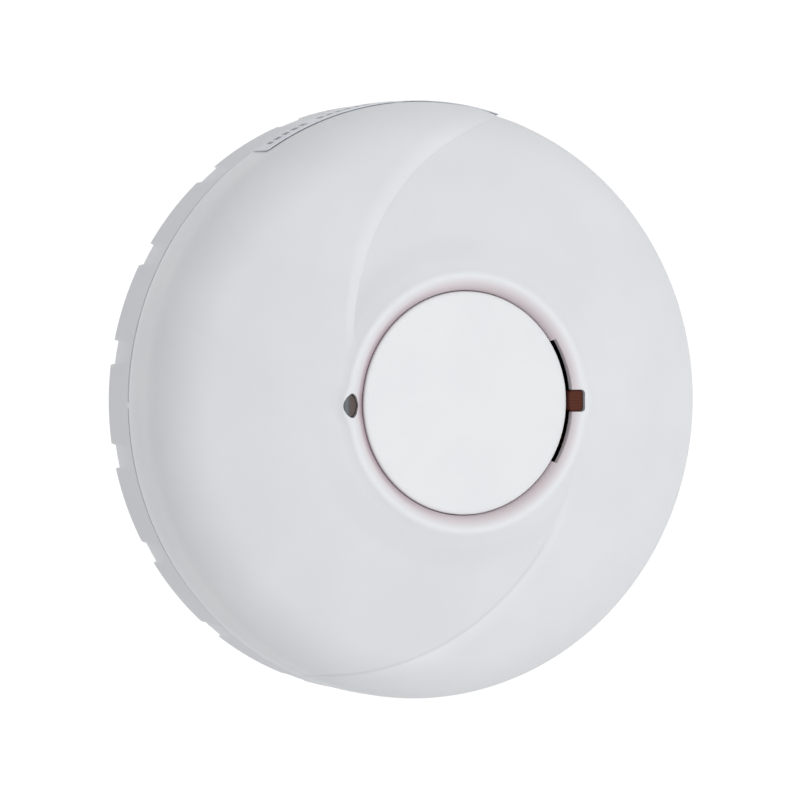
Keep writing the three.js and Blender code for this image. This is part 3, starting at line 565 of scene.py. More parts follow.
pick(cover, near_ridge, "EDGE")
bpy.ops.mesh.subdivide(number_cuts=FINE_CUTS)
finish_edit()
for vertex in cover.data.vertices:
    vertex.co = vertex.co.normalized() * first_radius * MM
edit()
bpy.ops.mesh.select_all(action="SELECT")
shift(z=first_z)
for (r0, z0), (r1, z1) in zip(section, section[1:]):
    bpy.ops.mesh.extrude_region_move(TRANSFORM_OT_translate={"value": (0, 0, (z1 - z0) * MM)})
    bpy.ops.transform.resize(value=(r1 / r0, r1 / r0, 1), center_override=(0, 0, z1 * MM))
    lean = ridge_angle(r1) - ridge_angle(r0)
    if abs(lean) > 1e-6:
        turn(lean)
finish_edit()
ring = len(cover.data.vertices) // len(section)
print("columns:", ring, "faces:", len(cover.data.polygons))

# %% [markdown]
# The last ring is joined to the first with a bridge, and the faces are turned
# outwards. Then the ridges are raised in code: on one side of each ridge the
# surface drops by up to 0.8 mm to a crisp foot, and it climbs back slowly
# over the half turn to the other ridge.

# %% Close the cover
edit()
bpy.ops.mesh.select_all(action="DESELECT")
finish_edit()
last = len(cover.data.vertices) - ring
for vertex in cover.data.vertices:
    vertex.select = vertex.index < ring or vertex.index >= last
edit()
bpy.ops.mesh.bridge_edge_loops()
bpy.ops.mesh.select_all(action="SELECT")
bpy.ops.mesh.normals_make_consistent(inside=False)
finish_edit()

# %% Raise the ridges
RIDGE_DROP = 0.8


def smooth_step(value, low, high):
    t = min(max((value - low) / (high - low), 0), 1)
    return t * t * (3 - 2 * t)


def ridge_drop(radius, height):
    """Height of the step: nothing at the lip, full on the cone, less at the rim."""
    rise = smooth_step(radius, 22.4, 28)
    ease = 1 - 0.55 * smooth_step(radius, 42, cover_radius)
    return RIDGE_DROP * rise * ease * smooth_step(height, seam_z + 2, SIDE_TOP)


def relief(point):
    """How far the surface sinks at a point, and how close the point is to a ridge's foot."""
    radius = math.hypot(point.x, point.y)
    past = (ridge_angle(radius) - math.degrees(math.atan2(point.y, point.x))) % 360
    span = SECTORS[0]
    if past >= span:
        past, span = past - span, SECTORS[1]
    drop = ridge_drop(radius, point.z)
    climb = drop * (0.5 + 0.5 * math.cos(math.pi * past / span))
    to_ridge = math.radians(span - past) * radius * ridge_lean(radius)
    from_ridge = math.radians(past) * radius * ridge_lean(radius)
    width = 1.6 + 1.5 * smooth_step(radius, 25, 37)
    behind = max(0, min(to_ridge, from_ridge) / 0.35)
    foot = max(0, 1 - behind) * smooth_step(radius, 25, 32)
    # The foot mark is painted stronger at one ridge than the other, as painted shade where that step faces
    # away from the lamp.
    second = (span == SECTORS[0]) == (to_ridge < from_ridge)
    foot *= 0.45 if second else 0.15
    if to_ridge < width:
        return climb + (drop - climb) * (1 - to_ridge / width) ** 2.2, foot
    return climb, foot


# This attribute carries the mark of dust and painted shade along the foot of each ridge.
cover.data.attributes.new("ridge_foot_dust_and_shade", "FLOAT", "POINT")
foot_dust_and_shade_marks = cover.data.attributes["ridge_foot_dust_and_shade"].data
normals = [vertex.normal.copy() for vertex in cover.data.vertices]
deepest = 0
for vertex in cover.data.vertices[:ring * len(outside)]:
    point = vertex.co / MM
    if math.hypot(point.x, point.y) > 22.5:
        sunk, foot = relief(point)
        vertex.co -= normals[vertex.index] * sunk * MM
        foot_dust_and_shade_marks[vertex.index].value = foot
        deepest = max(deepest, sunk)
print(f"deepest point of the relief {deepest:.2f} mm")

# %% [markdown]
# The lip is drawn out a little beside each window. Proportional editing moves
# the crest there and lets the surface around it follow.

# %% Draw the lip out at the windows
def draw_out(side, amount, reach):
    """Push the crest of the lip outwards at the left (-1) or right (+1) window."""
    def crest(point):
        off = math.hypot(point.x, point.y) - lip_radius
        return -0.9 < off < 0.6 and side * point.x > 0 and abs(point.y) < 1.5 and point.z > crest_z - 1
    pick(cover, crest)
    bpy.ops.transform.translate(value=(side * amount * MM, 0, 0), use_proportional_edit=True,
                                proportional_edit_falloff="SMOOTH", proportional_size=reach * MM)
    finish_edit()


draw_out(-1, 0.7, 2.6)
draw_out(1, 0.6, 2.2)

# %% [markdown]
# Three openings go through the lip: the smoke inlet along the right of the
# button, the oval status window, and the notch of the red-brown window. Each
# is a plate-like tool that is taken away from the cover.

# %% Tools for the openings
status_low, _ = box_mm("status_light_guide")
tinted_low, tinted_high = box_mm("tinted_window")
INLET_ANGLE = 32.5
inlet_radius = button_radius + 0.8

inlet_tool = turned("inlet_tool", [
    (bore_radius - 1, collar_z - 1), (inlet_radius + 1.2, collar_z - 1),
    (inlet_radius + 1.2, crest_z - 2.1), (inlet_radius, crest_z - 1.9),
    (inlet_radius, crest_z + 1), (bore_radius - 1, crest_z + 1),
], steps=40, sweep=2 * INLET_ANGLE, start=-INLET_ANGLE)

status_edge = status_low.x - 0.5
STATUS_OUTLINE = [
    (0.05, 0.45), (0.65, 1.45), (1.7, 2.15), (2.5, 1.5), (2.95, 0),
    (2.5, -1.5), (1.8, -2.15), (0.7, -1.6), (0.05, -0.55),
]


def status_outline(gap):
    """Rounded triangle towards the outside, arc towards the button, drawn in by a gap."""
    middle = Vector((1.6, 0))
    points = [middle + (Vector(p) - middle) * (1 - gap / 1.6) for p in STATUS_OUTLINE]
    return [(status_edge + p.x, p.y) for p in points]


status_tool = plate("status_tool", status_outline(0), collar_z - 1, crest_z + 1, rounding=0.4)
notch_edge = tinted_high.x - 0.12
notch_tool = plate("notch_tool", [
    (bore_radius, 1.85), (notch_edge, 1.85), (notch_edge, -1.85), (bore_radius, -1.85),
], collar_z - 1, crest_z + 1, rounding=0.65)

for tool in (inlet_tool, status_tool, notch_tool):
    boolean(cover, tool)
print("faces after the openings:", len(cover.data.polygons))
LEAST_COVER_FACES = 10000
if len(cover.data.polygons) < LEAST_COVER_FACES:
    raise RuntimeError("an opening tool has crossed itself, and the cover was lost")

# %% [markdown]
# The cut mesh round the openings is tidied and shaded smooth by angle, and four
# screw bosses hang inside the shoulder. A boss is a tube; its closed end is let into the wall.

# %% Tidy the openings and add the screw bosses
tidy_mesh(40)
screw_low, screw_high = box_mm("case_screw_1")
screw_x = (screw_low.x + screw_high.x) / 2
screw_y = (screw_low.y + screw_high.y) / 2
boss_z = base_top + 3.6


def screw_boss(x, y):
    """A tube for the case screw, reaching up into the cover's wall."""
    boss = turned("boss", [(1.5, boss_z), (2.7, boss_z), (3.0, boss_z + 0.3), (3.0, boss_z + 10.2),
                           (0, boss_z + 10.2), (0, boss_z + 8.5), (1.5, boss_z + 8.5)], steps=28)
    return move_piece(boss, x, y)


bosses = [screw_boss(sx * screw_x, sy * screw_y) for sx in (-1, 1) for sy in (-1, 1)]
nib = block("seam_nib", (-cover_radius, -0.5, seam_z - 0.3), (-cover_radius + 1.6, 0.5, seam_z + 0.5))
cover = merge_pieces(cover, *bosses, nib)
cover.data.materials.clear()
cover.data.materials.append(cover_plastic)
bpy.ops.object.shade_smooth_by_angle(angle=math.radians(40))
stand_for(cover, "front_cover")

# %% [markdown]
# ## Test button
# The button is a shallow cup: a slightly crowned face with a small round
# edge, a skirt, three snap hooks that hold it under the collar, a seat for
# its spring, and a post over the test switch.

# %% Test button
def button_hook():
    """One snap hook at angle zero."""
    inner = button_radius - 1.4
    return turned("button_hook", [
        (inner, button_low.z + 0.3), (inner + 0.3, button_low.z), (button_radius + 0.3, button_low.z),
        (button_radius + 1.05, button_low.z + 0.8), (button_radius + 1.05, collar_z - 0.4),
        (button_radius - 0.1, collar_z - 0.4), (button_radius - 0.1, button_edge_z - 3.2),
        (inner, button_edge_z - 3.2),
    ], steps=8, sweep=14, start=-7)


plunger_low, plunger_high = box_mm("test_switch_plunger")
crown = [(button_radius * t, button_edge_z + 0.35 * (1 - t * t)) for t in (0.96, 0.9, 0.75, 0.6, 0.4, 0.2, 0)]
edge = [(button_radius, button_edge_z - 0.45), (button_radius - 0.03, button_edge_z - 0.28),
        (button_radius - 0.13, button_edge_z - 0.13), (button_radius - 0.3, button_edge_z - 0.02)]
button = turned("button", [
    (0, button_edge_z - 1.6), (button_radius - 1.9, button_edge_z - 1.6),
    (button_radius - 1.4, button_edge_z - 2.0), (button_radius - 1.4, button_edge_z - 3.4),
    (button_radius - 1.2, button_edge_z - 3.6), (button_radius - 0.15, button_edge_z - 3.6),
    (button_radius, button_edge_z - 3.45), *edge, *crown,
], steps=180)
hooks = copies_round(button_hook(), (90, 210, 330))
seat = turned("seat", [(3.8, button_edge_z - 1.5), (3.8, button_edge_z - 2.4), (3.6, button_edge_z - 2.6),
                       (0, button_edge_z - 2.6), (0, button_edge_z - 1.5)], steps=40)
post = turned("post", [(1.3, button_edge_z - 1.5), (1.3, plunger_high.z + 0.5), (1.1, plunger_high.z + 0.3),
                       (0, plunger_high.z + 0.3), (0, button_edge_z - 1.5)], steps=24)
move_piece(post, (plunger_low.x + plunger_high.x) / 2, (plunger_low.y + plunger_high.y) / 2)
button = merge_pieces(button, seat, post, *hooks)
button.data.materials.append(button_plastic)
stand_for(button, "test_button", "button")

# %% [markdown]
# ## Status window
# Under the oval opening stands a clear light guide. Seen from outside it
# looks smoky: blue-grey on the outer half. A gradient across the guide gives
# that tone and also paints light: a painted reflection of the lip in brown on
# the half towards the button, and painted shade, nearly black, at both edges.

# %% Clear and tinted window finishes
clear_lens, tree, shader, place = new_finish("clear_lens")
lens_across, _, _ = axes(tree, place)
lens_share = spread(tree, lens_across, 0, 1, status_edge * MM, (status_edge + 2.95) * MM)
# Painted reflection of the lip in brown towards the button, and painted shade at both edges of the opening.
lens_tone_with_painted_reflection = ramp(tree, lens_share, [
    (0.06, (0.02, 0.022, 0.026)), (0.16, (0.09, 0.105, 0.115)), (0.36, (0.14, 0.155, 0.165)),
    (0.5, (0.075, 0.072, 0.075)), (0.62, (0.085, 0.055, 0.048)), (0.88, (0.07, 0.042, 0.038)),
    (1.0, (0.02, 0.013, 0.014)),
])
tree.links.new(lens_tone_with_painted_reflection, shader.inputs["Base Color"])
shader.inputs["Roughness"].default_value = 0.35
shader.inputs["Specular IOR Level"].default_value = 0.2
bump(tree, shader, noise(tree, place, 0.8), 0.01)

tinted_lens, tree, shader, place = new_finish("tinted_lens")
ribs = tree.nodes.new("ShaderNodeTexWave")
ribs.bands_direction = "Y"
ribs.inputs["Scale"].default_value = 1 / (1.6 * MM)
ribs.inputs["Distortion"].default_value = 1.2
tree.links.new(place, ribs.inputs["Vector"])
tree.links.new(ramp(tree, ribs.outputs["Fac"], [(0.0, (0.082, 0.020, 0.011)), (1.0, (0.105, 0.028, 0.015))]),
               shader.inputs["Base Color"])
shader.inputs["Roughness"].default_value = 0.38
shader.inputs["Specular IOR Level"].default_value = 0.08
bump(tree, shader, ribs.outputs["Fac"], 0.02)

# %% Status light guide
guide = plate("guide", status_outline(0.12), status_low.z, crest_z - 0.95, rounding=0.36)
round_off(guide, 0.12)
guide.data.materials.append(clear_lens)
stand_for(guide, "status_light_guide")

# %% [markdown]
# ## Red-brown window
# The notch in the lip is filled by the head of a tinted guide, finely ribbed,
# whose stem goes down to the sensor on the board.

# %% Tinted window
tinted_front = bore_radius + 0.12
head = plate("head", [(tinted_front, 1.72), (notch_edge - 0.12, 1.72), (notch_edge - 0.12, -1.72),
                      (tinted_front, -1.72)], collar_z + 0.2, crest_z - 0.8, rounding=0.6)
stem = plate("stem", [(tinted_low.x, 1.5), (tinted_low.x + 1.6, 1.5), (tinted_low.x + 1.6, -1.5),
                      (tinted_low.x, -1.5)], tinted_low.z, collar_z + 0.5, rounding=0.25)
window = merge_pieces(round_off(head, 0.1), stem)
window.data.materials.append(tinted_lens)
stand_for(window, "tinted_window")

# %% [markdown]
# ## Label on the side
# A strip of satin film is stuck round the upright side. It is drawn as one
# upright line, spun through its angle, its corners rounded and then given
# the thickness of film. The print is left as plain bars with no meaning.

# %% Label film
label_low, label_high = box_mm("warning_label")
LABEL_FROM, LABEL_TO = 72.5, 123.4
label_radius = cover_radius + 0.06
strip = pencil("strip", (label_radius, 0, label_low.z))
draw_line([(label_radius, 0, label_low.z), (label_radius, 0, label_high.z)])
bpy.ops.mesh.select_all(action="SELECT")
turn(LABEL_FROM)
bpy.ops.mesh.spin(steps=48, angle=-math.radians(LABEL_TO - LABEL_FROM), center=(0, 0, 0), axis=(0, 0, 1))
finish_edit()


def at_corner(point):
    angle = math.degrees(math.atan2(point.y, point.x))
    return min(abs(angle - LABEL_FROM), abs(angle - LABEL_TO)) < 0.1


pick(strip, at_corner)
bpy.ops.mesh.bevel(offset=0.7 * MM, segments=4, affect="VERTICES")
bpy.ops.mesh.select_all(action="SELECT")
bpy.ops.mesh.normals_make_consistent(inside=False)
finish_edit()
film = strip.modifiers.new("film", "SOLIDIFY")
film.thickness = 0.16 * MM
film.offset = 1
make_active(strip)
bpy.ops.object.modifier_apply(modifier=film.name)
bpy.ops.object.shade_smooth_by_angle(angle=math.radians(30))

# %% Label finish
label_film, tree, shader, place = new_finish("label_film")
x, y, z = axes(tree, place)
run = sums(tree, "MULTIPLY", sums(tree, "ARCTAN2", y, x), label_radius)
inside_run = sums(tree, "LESS_THAN", sums(tree, "ABSOLUTE", sums(tree, "SUBTRACT", run,
                  math.radians((LABEL_FROM + LABEL_TO) / 2) * label_radius)),
                  math.radians((LABEL_TO - LABEL_FROM) / 2) * label_radius - 2.0)
strokes = sums(tree, "LESS_THAN", sums(tree, "FRACT", sums(tree, "DIVIDE", run, 1.7)), 0.68)
words = sums(tree, "LESS_THAN", sums(tree, "FRACT", sums(tree, "DIVIDE", run, 12.3)), 0.84)
row_height = (label_low.z + label_high.z) / 2 * MM
row = sums(tree, "LESS_THAN", sums(tree, "ABSOLUTE", sums(tree, "SUBTRACT", z, row_height)), 1.0 * MM)
bars = sums(tree, "MULTIPLY", sums(tree, "MULTIPLY", strokes, words), sums(tree, "MULTIPLY", row, inside_run))
film_tone = ramp(tree, noise(tree, place, 3), [(0.4, (0.60, 0.63, 0.69)), (0.6, (0.64, 0.67, 0.73))])
tree.links.new(blend_colours(tree, bars, film_tone, (0.10, 0.11, 0.13)), shader.inputs["Base Color"])
shader.inputs["Roughness"].default_value = 0.35
strip.data.materials.append(label_film)
stand_for(strip, "warning_label")

# %% [markdown]
# ## Mounting base
# The base is a skirt with a plate across it. Eighteen small notches in its
# rear edge let a blade or a cable in. The section of skirt and plate is drawn
# once and spun, then the notches and the fixing slots are cut out.

# %% Skirt and plate
BASE_WALL = 1.8
NOTCHES = 18
inner = base_radius - BASE_WALL
base = turned("base", [
    (16.0, 2.5), (16.3, 2.2), (inner, 2.2), (inner, 0.15), (inner + 0.15, 0), (base_radius - 0.25, 0),
    (base_radius, 0.25), (base_radius, base_top - 0.3), (base_radius - 0.3, base_top),
    (inner + 0.2, base_top), (inner, base_top - 0.2), (inner, 4.4), (inner - 0.4, 4.0),
    (16.3, 4.0), (16.0, 3.7),
], steps=216)


def rim_notch():
    """Tool for one notch at angle zero: wider at the wall than inside."""
    tool = block("notch", (inner - 0.9, -2.25, -1), (base_radius + 1, 2.25, 2.1))
    pick(tool, lambda p: p.z > 0)
    bpy.ops.transform.resize(value=(1, 3.8 / 4.5, 1), center_override=(0, 0, 0))
    finish_edit()
    return tool


notch_tools = copies_round(rim_notch(), [(i + 0.5) * 360 / NOTCHES for i in range(NOTCHES)])
boolean(base, merge_pieces(*notch_tools))

# %% Fixing pads, slots and raised rings
fixing_x = 33
pads = [plate("pad", [(x - 5.5, -6.5), (x + 5.5, -6.5), (x + 5.5, 6.5), (x - 5.5, 6.5)], 0, 2.7, rounding=1.5)
        for x in (-fixing_x, fixing_x)]
slots = [plate("slot", [(x - 2.2, -4.5), (x + 2.2, -4.5), (x + 2.2, 4.5), (x - 2.2, 4.5)], -1, 5,
               rounding=2.19) for x in (-fixing_x, fixing_x)]
base = boolean(base, merge_pieces(*pads), "UNION")
base = boolean(base, merge_pieces(*slots))
round_off(base, 0.12)

# %% [markdown]
# The alarm hangs on three bayonet hooks of the base and is stopped by a post
# beside each. A peg on the plate works the power switch as the alarm is
# twisted on. Behind the plate, a ring round the cable hole and thin ribs keep
# the plate flat against the wall.

# %% Hooks, stops, peg, ring and ribs
chassis_low, chassis_high = box_mm("rear_chassis")
chassis_radius = chassis_high.x
chassis_floor = base_top - 1.0
hook_wall = chassis_radius - 3.4
hook_reach = hook_wall - 2.6
hook_top = chassis_floor - 0.8
tongue_z = hook_top - 1.2
HOOK_HALF = 6
BAYONET = (90, 210, 330)


def base_hook():
    """Hook at angle zero, with the post that stops the alarm's foot."""
    hook = turned("hook", [(hook_wall + 1.6, 3.5), (hook_wall + 1.6, hook_top), (hook_reach, hook_top),
                           (hook_reach, tongue_z), (hook_wall, tongue_z), (hook_wall, 3.5)],
                  steps=10, sweep=2 * HOOK_HALF, start=-HOOK_HALF)
    stop = turned("stop", [(hook_wall + 1.6, 3.5), (hook_wall + 1.6, hook_top), (hook_reach, hook_top),
                           (hook_reach, 3.5)], steps=3, sweep=2.4, start=-HOOK_HALF - 3)
    return merge_pieces(round_off(hook, 0.15), round_off(stop, 0.15))


slider_low, slider_high = box_mm("power_slider")
peg = turned("peg", [(0, 3.6), (1.4, 3.6), (1.4, tongue_z + 0.1), (1.1, tongue_z + 0.4), (0, tongue_z + 0.4)],
             steps=28)
move_piece(peg, (slider_low.x + slider_high.x) / 2, (slider_low.y + slider_high.y) / 2)
ring = turned("ring", [(16.0, 2.4), (16.0, 1.3), (16.2, 1.1), (17.1, 1.1), (17.3, 1.3), (17.3, 2.4)],
              steps=128)
rib = round_off(block("rib", (17.2, -0.5, 1.3), (inner + 0.2, 0.5, 2.4)), 0.15)
ribs = copies_round(rib, [15 + 30 * i for i in range(12)])
base = merge_pieces(base, ring, peg, *ribs, *copies_round(base_hook(), BAYONET))
bpy.ops.object.shade_smooth_by_angle(angle=math.radians(30))
print("base faces:", len(base.data.polygons))
base.data.materials.append(base_plastic)
stand_for(base, "mounting_base", "mount")

# %% [markdown]
# ## Rear chassis
# The chassis closes the cover from behind. It is a shallow tray with four
# pillars for the case screws, four standoffs for the board, a deep pan for
# the battery, a slot for the switch slider and three bayonet feet.

# %% Tray, pillars and pan
floor_top = chassis_floor + 1.4
battery_low, battery_high = box_mm("battery")
board_low, _ = box_mm("circuit_board")
pan_half_x = battery_high.x + 1.1
pan_low_y, pan_high_y = battery_low.y - 0.4, battery_high.y + 0.4
pan_z = battery_low.z - 0.4

tray = turned("tray", [
    (0, chassis_floor), (chassis_radius - 0.5, chassis_floor), (chassis_radius, chassis_floor + 0.5),
    (chassis_radius, floor_top + 2.7), (chassis_radius - 0.3, floor_top + 3),
    (chassis_radius - 1.2, floor_top + 3),
    (chassis_radius - 1.4, floor_top + 2.8), (chassis_radius - 1.4, floor_top + 0.4),
    (chassis_radius - 1.8, floor_top), (0, floor_top),
], steps=192)
pillars = [move_piece(turned("pillar", [(0, chassis_floor), (4.3, chassis_floor), (4.3, chassis_high.z - 0.3),
                                        (4.0, chassis_high.z), (0, chassis_high.z)], steps=40),
                      sx * screw_x, sy * screw_y) for sx in (-1, 1) for sy in (-1, 1)]
pan = plate("pan", [(-pan_half_x - 1.2, pan_low_y - 1.2), (pan_half_x + 1.2, pan_low_y - 1.2),
                    (pan_half_x + 1.2, pan_high_y + 1.2), (-pan_half_x - 1.2, pan_high_y + 1.2)],
            pan_z - 1.2, floor_top - 0.1, rounding=0.8)
hollow = block("hollow", (-pan_half_x, pan_low_y, pan_z), (pan_half_x, pan_high_y, floor_top + 2))
chassis = boolean(tray, pan, "UNION")
for pillar in pillars:
    boolean(chassis, pillar, "UNION")
boolean(chassis, hollow)

# %% Screw holes, slider slot, standoffs and feet
web_z = screw_low.z + 1.8 + 0.1
for sx in (-1, 1):
    for sy in (-1, 1):
        hole = turned("hole", [(0, chassis_floor - 1), (3.1, chassis_floor - 1), (3.1, web_z), (1.5, web_z),
                               (1.5, chassis_high.z + 1), (0, chassis_high.z + 1)], steps=32)
        boolean(chassis, move_piece(hole, sx * screw_x, sy * screw_y))
slider_x = (slider_low.x + slider_high.x) / 2
slot_tool = plate("slot_tool", [(slider_x - 1.9, -5.16), (slider_x + 1.9, -5.16), (slider_x + 1.9, 5.16),
                                (slider_x - 1.9, 5.16)], chassis_floor - 1, floor_top + 1, rounding=0.4)
boolean(chassis, slot_tool)
round_off(chassis, 0.12)
STANDOFF = [(1.2, floor_top - 0.2), (2.6, floor_top - 0.2), (2.2, floor_top + 0.3),
            (2.2, board_low.z - 0.3), (1.2, board_low.z - 0.3)]
standoffs = [move_piece(turned("standoff", STANDOFF, steps=24), x, y)
             for x, y in ((-31, 10), (31, 10), (-31, -14), (31, -14))]
foot_outer = hook_reach - 0.4
foot = turned("foot", [
    (foot_outer - 1.6, chassis_low.z), (hook_wall - 0.4, chassis_low.z), (hook_wall - 0.4, tongue_z - 0.4),
    (foot_outer, tongue_z - 0.4), (foot_outer, chassis_floor + 0.3), (foot_outer - 1.6, chassis_floor + 0.3),
], steps=10, sweep=2 * HOOK_HALF, start=-HOOK_HALF)
chassis = merge_pieces(chassis, *standoffs, *copies_round(round_off(foot, 0.12), BAYONET))
bpy.ops.object.shade_smooth_by_angle(angle=math.radians(30))
chassis.data.materials.clear()
chassis.data.materials.append(chassis_plastic)
stand_for(chassis, "rear_chassis")

# %% [markdown]
# ## Button spring
# A light coil of steel wire pushes the button back up. A small circle is
# drawn where the wire starts, and a Screw modifier winds it upwards.

# %% Metals, black plastic, board and sleeve
def metal(name, pale, deep, roughness, stretch=(1, 1, 6)):
    """Plated or drawn metal: streaks of tone and sheen along one direction."""
    finish, tree, shader, place = new_finish(name)
    stretched = tree.nodes.new("ShaderNodeMapping")
    stretched.inputs["Scale"].default_value = stretch
    tree.links.new(place, stretched.inputs["Vector"])
    streaks = noise(tree, stretched.outputs["Vector"], 0.7, 3)
    tree.links.new(ramp(tree, streaks, [(0.35, deep), (0.65, pale)]), shader.inputs["Base Color"])
    tree.links.new(spread(tree, streaks, roughness - 0.08, roughness + 0.1), shader.inputs["Roughness"])
    bump(tree, shader, streaks, 0.006)
    shader.inputs["Metallic"].default_value = 1.0
    return finish


steel = metal("steel", (0.66, 0.67, 0.69), (0.54, 0.55, 0.57), 0.3)
brass = metal("brass", (0.78, 0.60, 0.28), (0.66, 0.48, 0.20), 0.28, (1, 4, 1))
copper = metal("copper", (0.55, 0.22, 0.09), (0.36, 0.12, 0.05), 0.3, (1, 1, 9))
black_plastic = moulded_plastic("black_plastic", (0.026, 0.026, 0.028), (0.016, 0.016, 0.018), 0.5, 0.5)[0]


def sleeve_finish():
    """Dark shrink sleeve with a pale band at one end and faint wrinkles round it."""
    finish, tree, shader, place = new_finish("battery_sleeve")
    x, _, _ = axes(tree, place)
    band = sums(tree, "GREATER_THAN", x, (battery_high.x - 8) * MM)
    tone = ramp(tree, noise(tree, place, 5), [(0.4, (0.030, 0.055, 0.11)), (0.6, (0.045, 0.075, 0.14))])
    tree.links.new(blend_colours(tree, band, tone, (0.42, 0.44, 0.47)), shader.inputs["Base Color"])
    wrinkles = noise(tree, place, 1.6, 3)
    tree.links.new(spread(tree, wrinkles, 0.22, 0.34), shader.inputs["Roughness"])
    bump(tree, shader, wrinkles, 0.02)
    return finish


def board_finish():
    """Green solder mask over copper tracks, with plated pads here and there."""
    finish, tree, shader, place = new_finish("board")
    bricks = tree.nodes.new("ShaderNodeTexBrick")
    for socket, value in (("Scale", 1000.0), ("Brick Width", 5.2), ("Row Height", 1.5), ("Mortar Size", 0.2),
                          ("Mortar Smooth", 0.1)):
        bricks.inputs[socket].default_value = value
    tree.links.new(place, bricks.inputs["Vector"])
    tracks = bricks.outputs["Fac"]
    cells = tree.nodes.new("ShaderNodeTexVoronoi")
    cells.inputs["Scale"].default_value = 1 / (4.0 * MM)
    tree.links.new(place, cells.inputs["Vector"])
    pads = sums(tree, "LESS_THAN", cells.outputs["Distance"], 0.13)
    mask = ramp(tree, noise(tree, place, 6), [(0.4, (0.016, 0.105, 0.040)), (0.6, (0.022, 0.135, 0.052))])
    tracked = blend_colours(tree, tracks, mask, (0.045, 0.21, 0.085))
    tree.links.new(blend_colours(tree, pads, tracked, (0.62, 0.60, 0.52)), shader.inputs["Base Color"])
    tree.links.new(pads, shader.inputs["Metallic"])
    shader.inputs["Roughness"].default_value = 0.32
    bump(tree, shader, tracks, 0.03)
    return finish


battery_sleeve = sleeve_finish()
board_green = board_finish()

# %% Button spring
spring_low, spring_high = box_mm("button_spring")
WIRE = 0.35
SPRING_TURNS = 3
coil_radius = spring_high.x - WIRE - 0.02
start_clean()
bpy.ops.mesh.primitive_circle_add(vertices=12, radius=WIRE * MM)
spring = bpy.context.object
edit()
bpy.ops.mesh.select_all(action="SELECT")
turn(90, axis="X")
shift(x=coil_radius, z=spring_low.z + WIRE + 0.05)
finish_edit()
wind = spring.modifiers.new("wind", "SCREW")
wind.screw_offset = (spring_high.z - spring_low.z - 2 * WIRE - 0.1) / SPRING_TURNS * MM
wind.iterations = SPRING_TURNS
wind.steps = wind.render_steps = 40
bpy.ops.object.modifier_apply(modifier=wind.name)
edit("EDGE")
bpy.ops.mesh.select_all(action="DESELECT")
bpy.ops.mesh.select_non_manifold(extend=False)
bpy.ops.mesh.edge_face_add()
tidy_mesh(60)
spring.data.materials.append(steel)
stand_for(spring, "button_spring")
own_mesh(spring)

# %% [markdown]
# ## Screws, battery and the parts on the board
# These are all turned shapes: a section is drawn and spun about the piece's
# own middle, then moved to its place on the chassis or the board.

# %% Case screws
def case_screw():
    """Pan-head screw at the origin, head down, with a coarse thread and a cross recess."""
    low, height = screw_low.z, screw_high.z - screw_low.z
    outline = [(0, 0), (1.6, 0), (2.4, 0.25), (2.75, 0.8), (2.8, 1.5), (2.7, 1.78), (1.0, 1.8)]
    z = 2.4
    while z < height - 1.8:
        outline += [(0.92, z), (1.19, z + 0.28), (1.19, z + 0.36), (0.92, z + 0.64)]
        z += 0.9
    outline += [(0.9, height - 1.2), (0, height)]
    screw = turned("screw", [(r, low + h) for r, h in outline], steps=28)
    arm = plate("arm", [(-1.7, -0.32), (1.7, -0.32), (1.7, 0.32), (-1.7, 0.32)], low - 1, low + 1.1,
                rounding=0.1)
    cross = copies_round(arm, (0, 90))
    for arm in cross:
        boolean(screw, arm)
    screw.data.materials.clear()
    screw.data.materials.append(steel)
    return screw


for number in range(1, 5):
    low, high = box_mm(f"case_screw_{number}")
    screw = move_piece(case_screw(), (low.x + high.x) / 2, (low.y + high.y) / 2)
    bpy.ops.object.shade_smooth_by_angle(angle=math.radians(30))
    stand_for(screw, f"case_screw_{number}")

# %% Battery
battery_radius = (battery_high.z - battery_low.z) / 2
half = (battery_high.x - battery_low.x) / 2
cell = turned("cell", [
    (0, -half), (battery_radius - 1.6, -half), (battery_radius - 1.5, -half + 0.15),
    (battery_radius - 0.5, -half + 0.15), (battery_radius - 0.1, -half + 0.5), (battery_radius, -half + 0.9),
    (battery_radius, half - 2.6), (battery_radius - 0.15, half - 1.9), (battery_radius - 0.7, half - 1.5),
    (3.4, half - 1.5), (3.2, half - 1.3), (3.2, half - 0.2), (3.0, half), (0, half),
], steps=72)
edit()
bpy.ops.mesh.select_all(action="SELECT")
turn(90, axis="Y")
finish_edit()
move_piece(cell, 0, (battery_low.y + battery_high.y) / 2, (battery_low.z + battery_high.z) / 2)
cell.data.materials.clear()
cell.data.materials.append(battery_sleeve)
stand_for(cell, "battery")

# %% Smoke chamber cap
cap_low, cap_high = box_mm("smoke_chamber_cap")
cap_radius = cap_high.x
cap = turned("cap", [
    (cap_radius - 1.2, cap_low.z), (cap_radius, cap_low.z), (cap_radius, cap_high.z - 1.1),
    (cap_radius - 0.3, cap_high.z - 0.4), (cap_radius - 1.0, cap_high.z), (4.0, cap_high.z),
    (3.8, cap_high.z - 0.3), (0, cap_high.z - 0.3), (0, cap_high.z - 1.2),
    (cap_radius - 1.2, cap_high.z - 1.2),
], steps=128)
slit = plate("slit", [(cap_radius - 2.5, -1), (cap_radius + 1, -1), (cap_radius + 1, 1),
                      (cap_radius - 2.5, 1)], cap_low.z + 1.7, cap_high.z - 1.9, rounding=0)
boolean(cap, merge_pieces(*copies_round(slit, [i * 22.5 for i in range(16)])))
round_off(cap, 0.1)
cap.data.materials.clear()
cap.data.materials.append(black_plastic)
stand_for(cap, "smoke_chamber_cap")

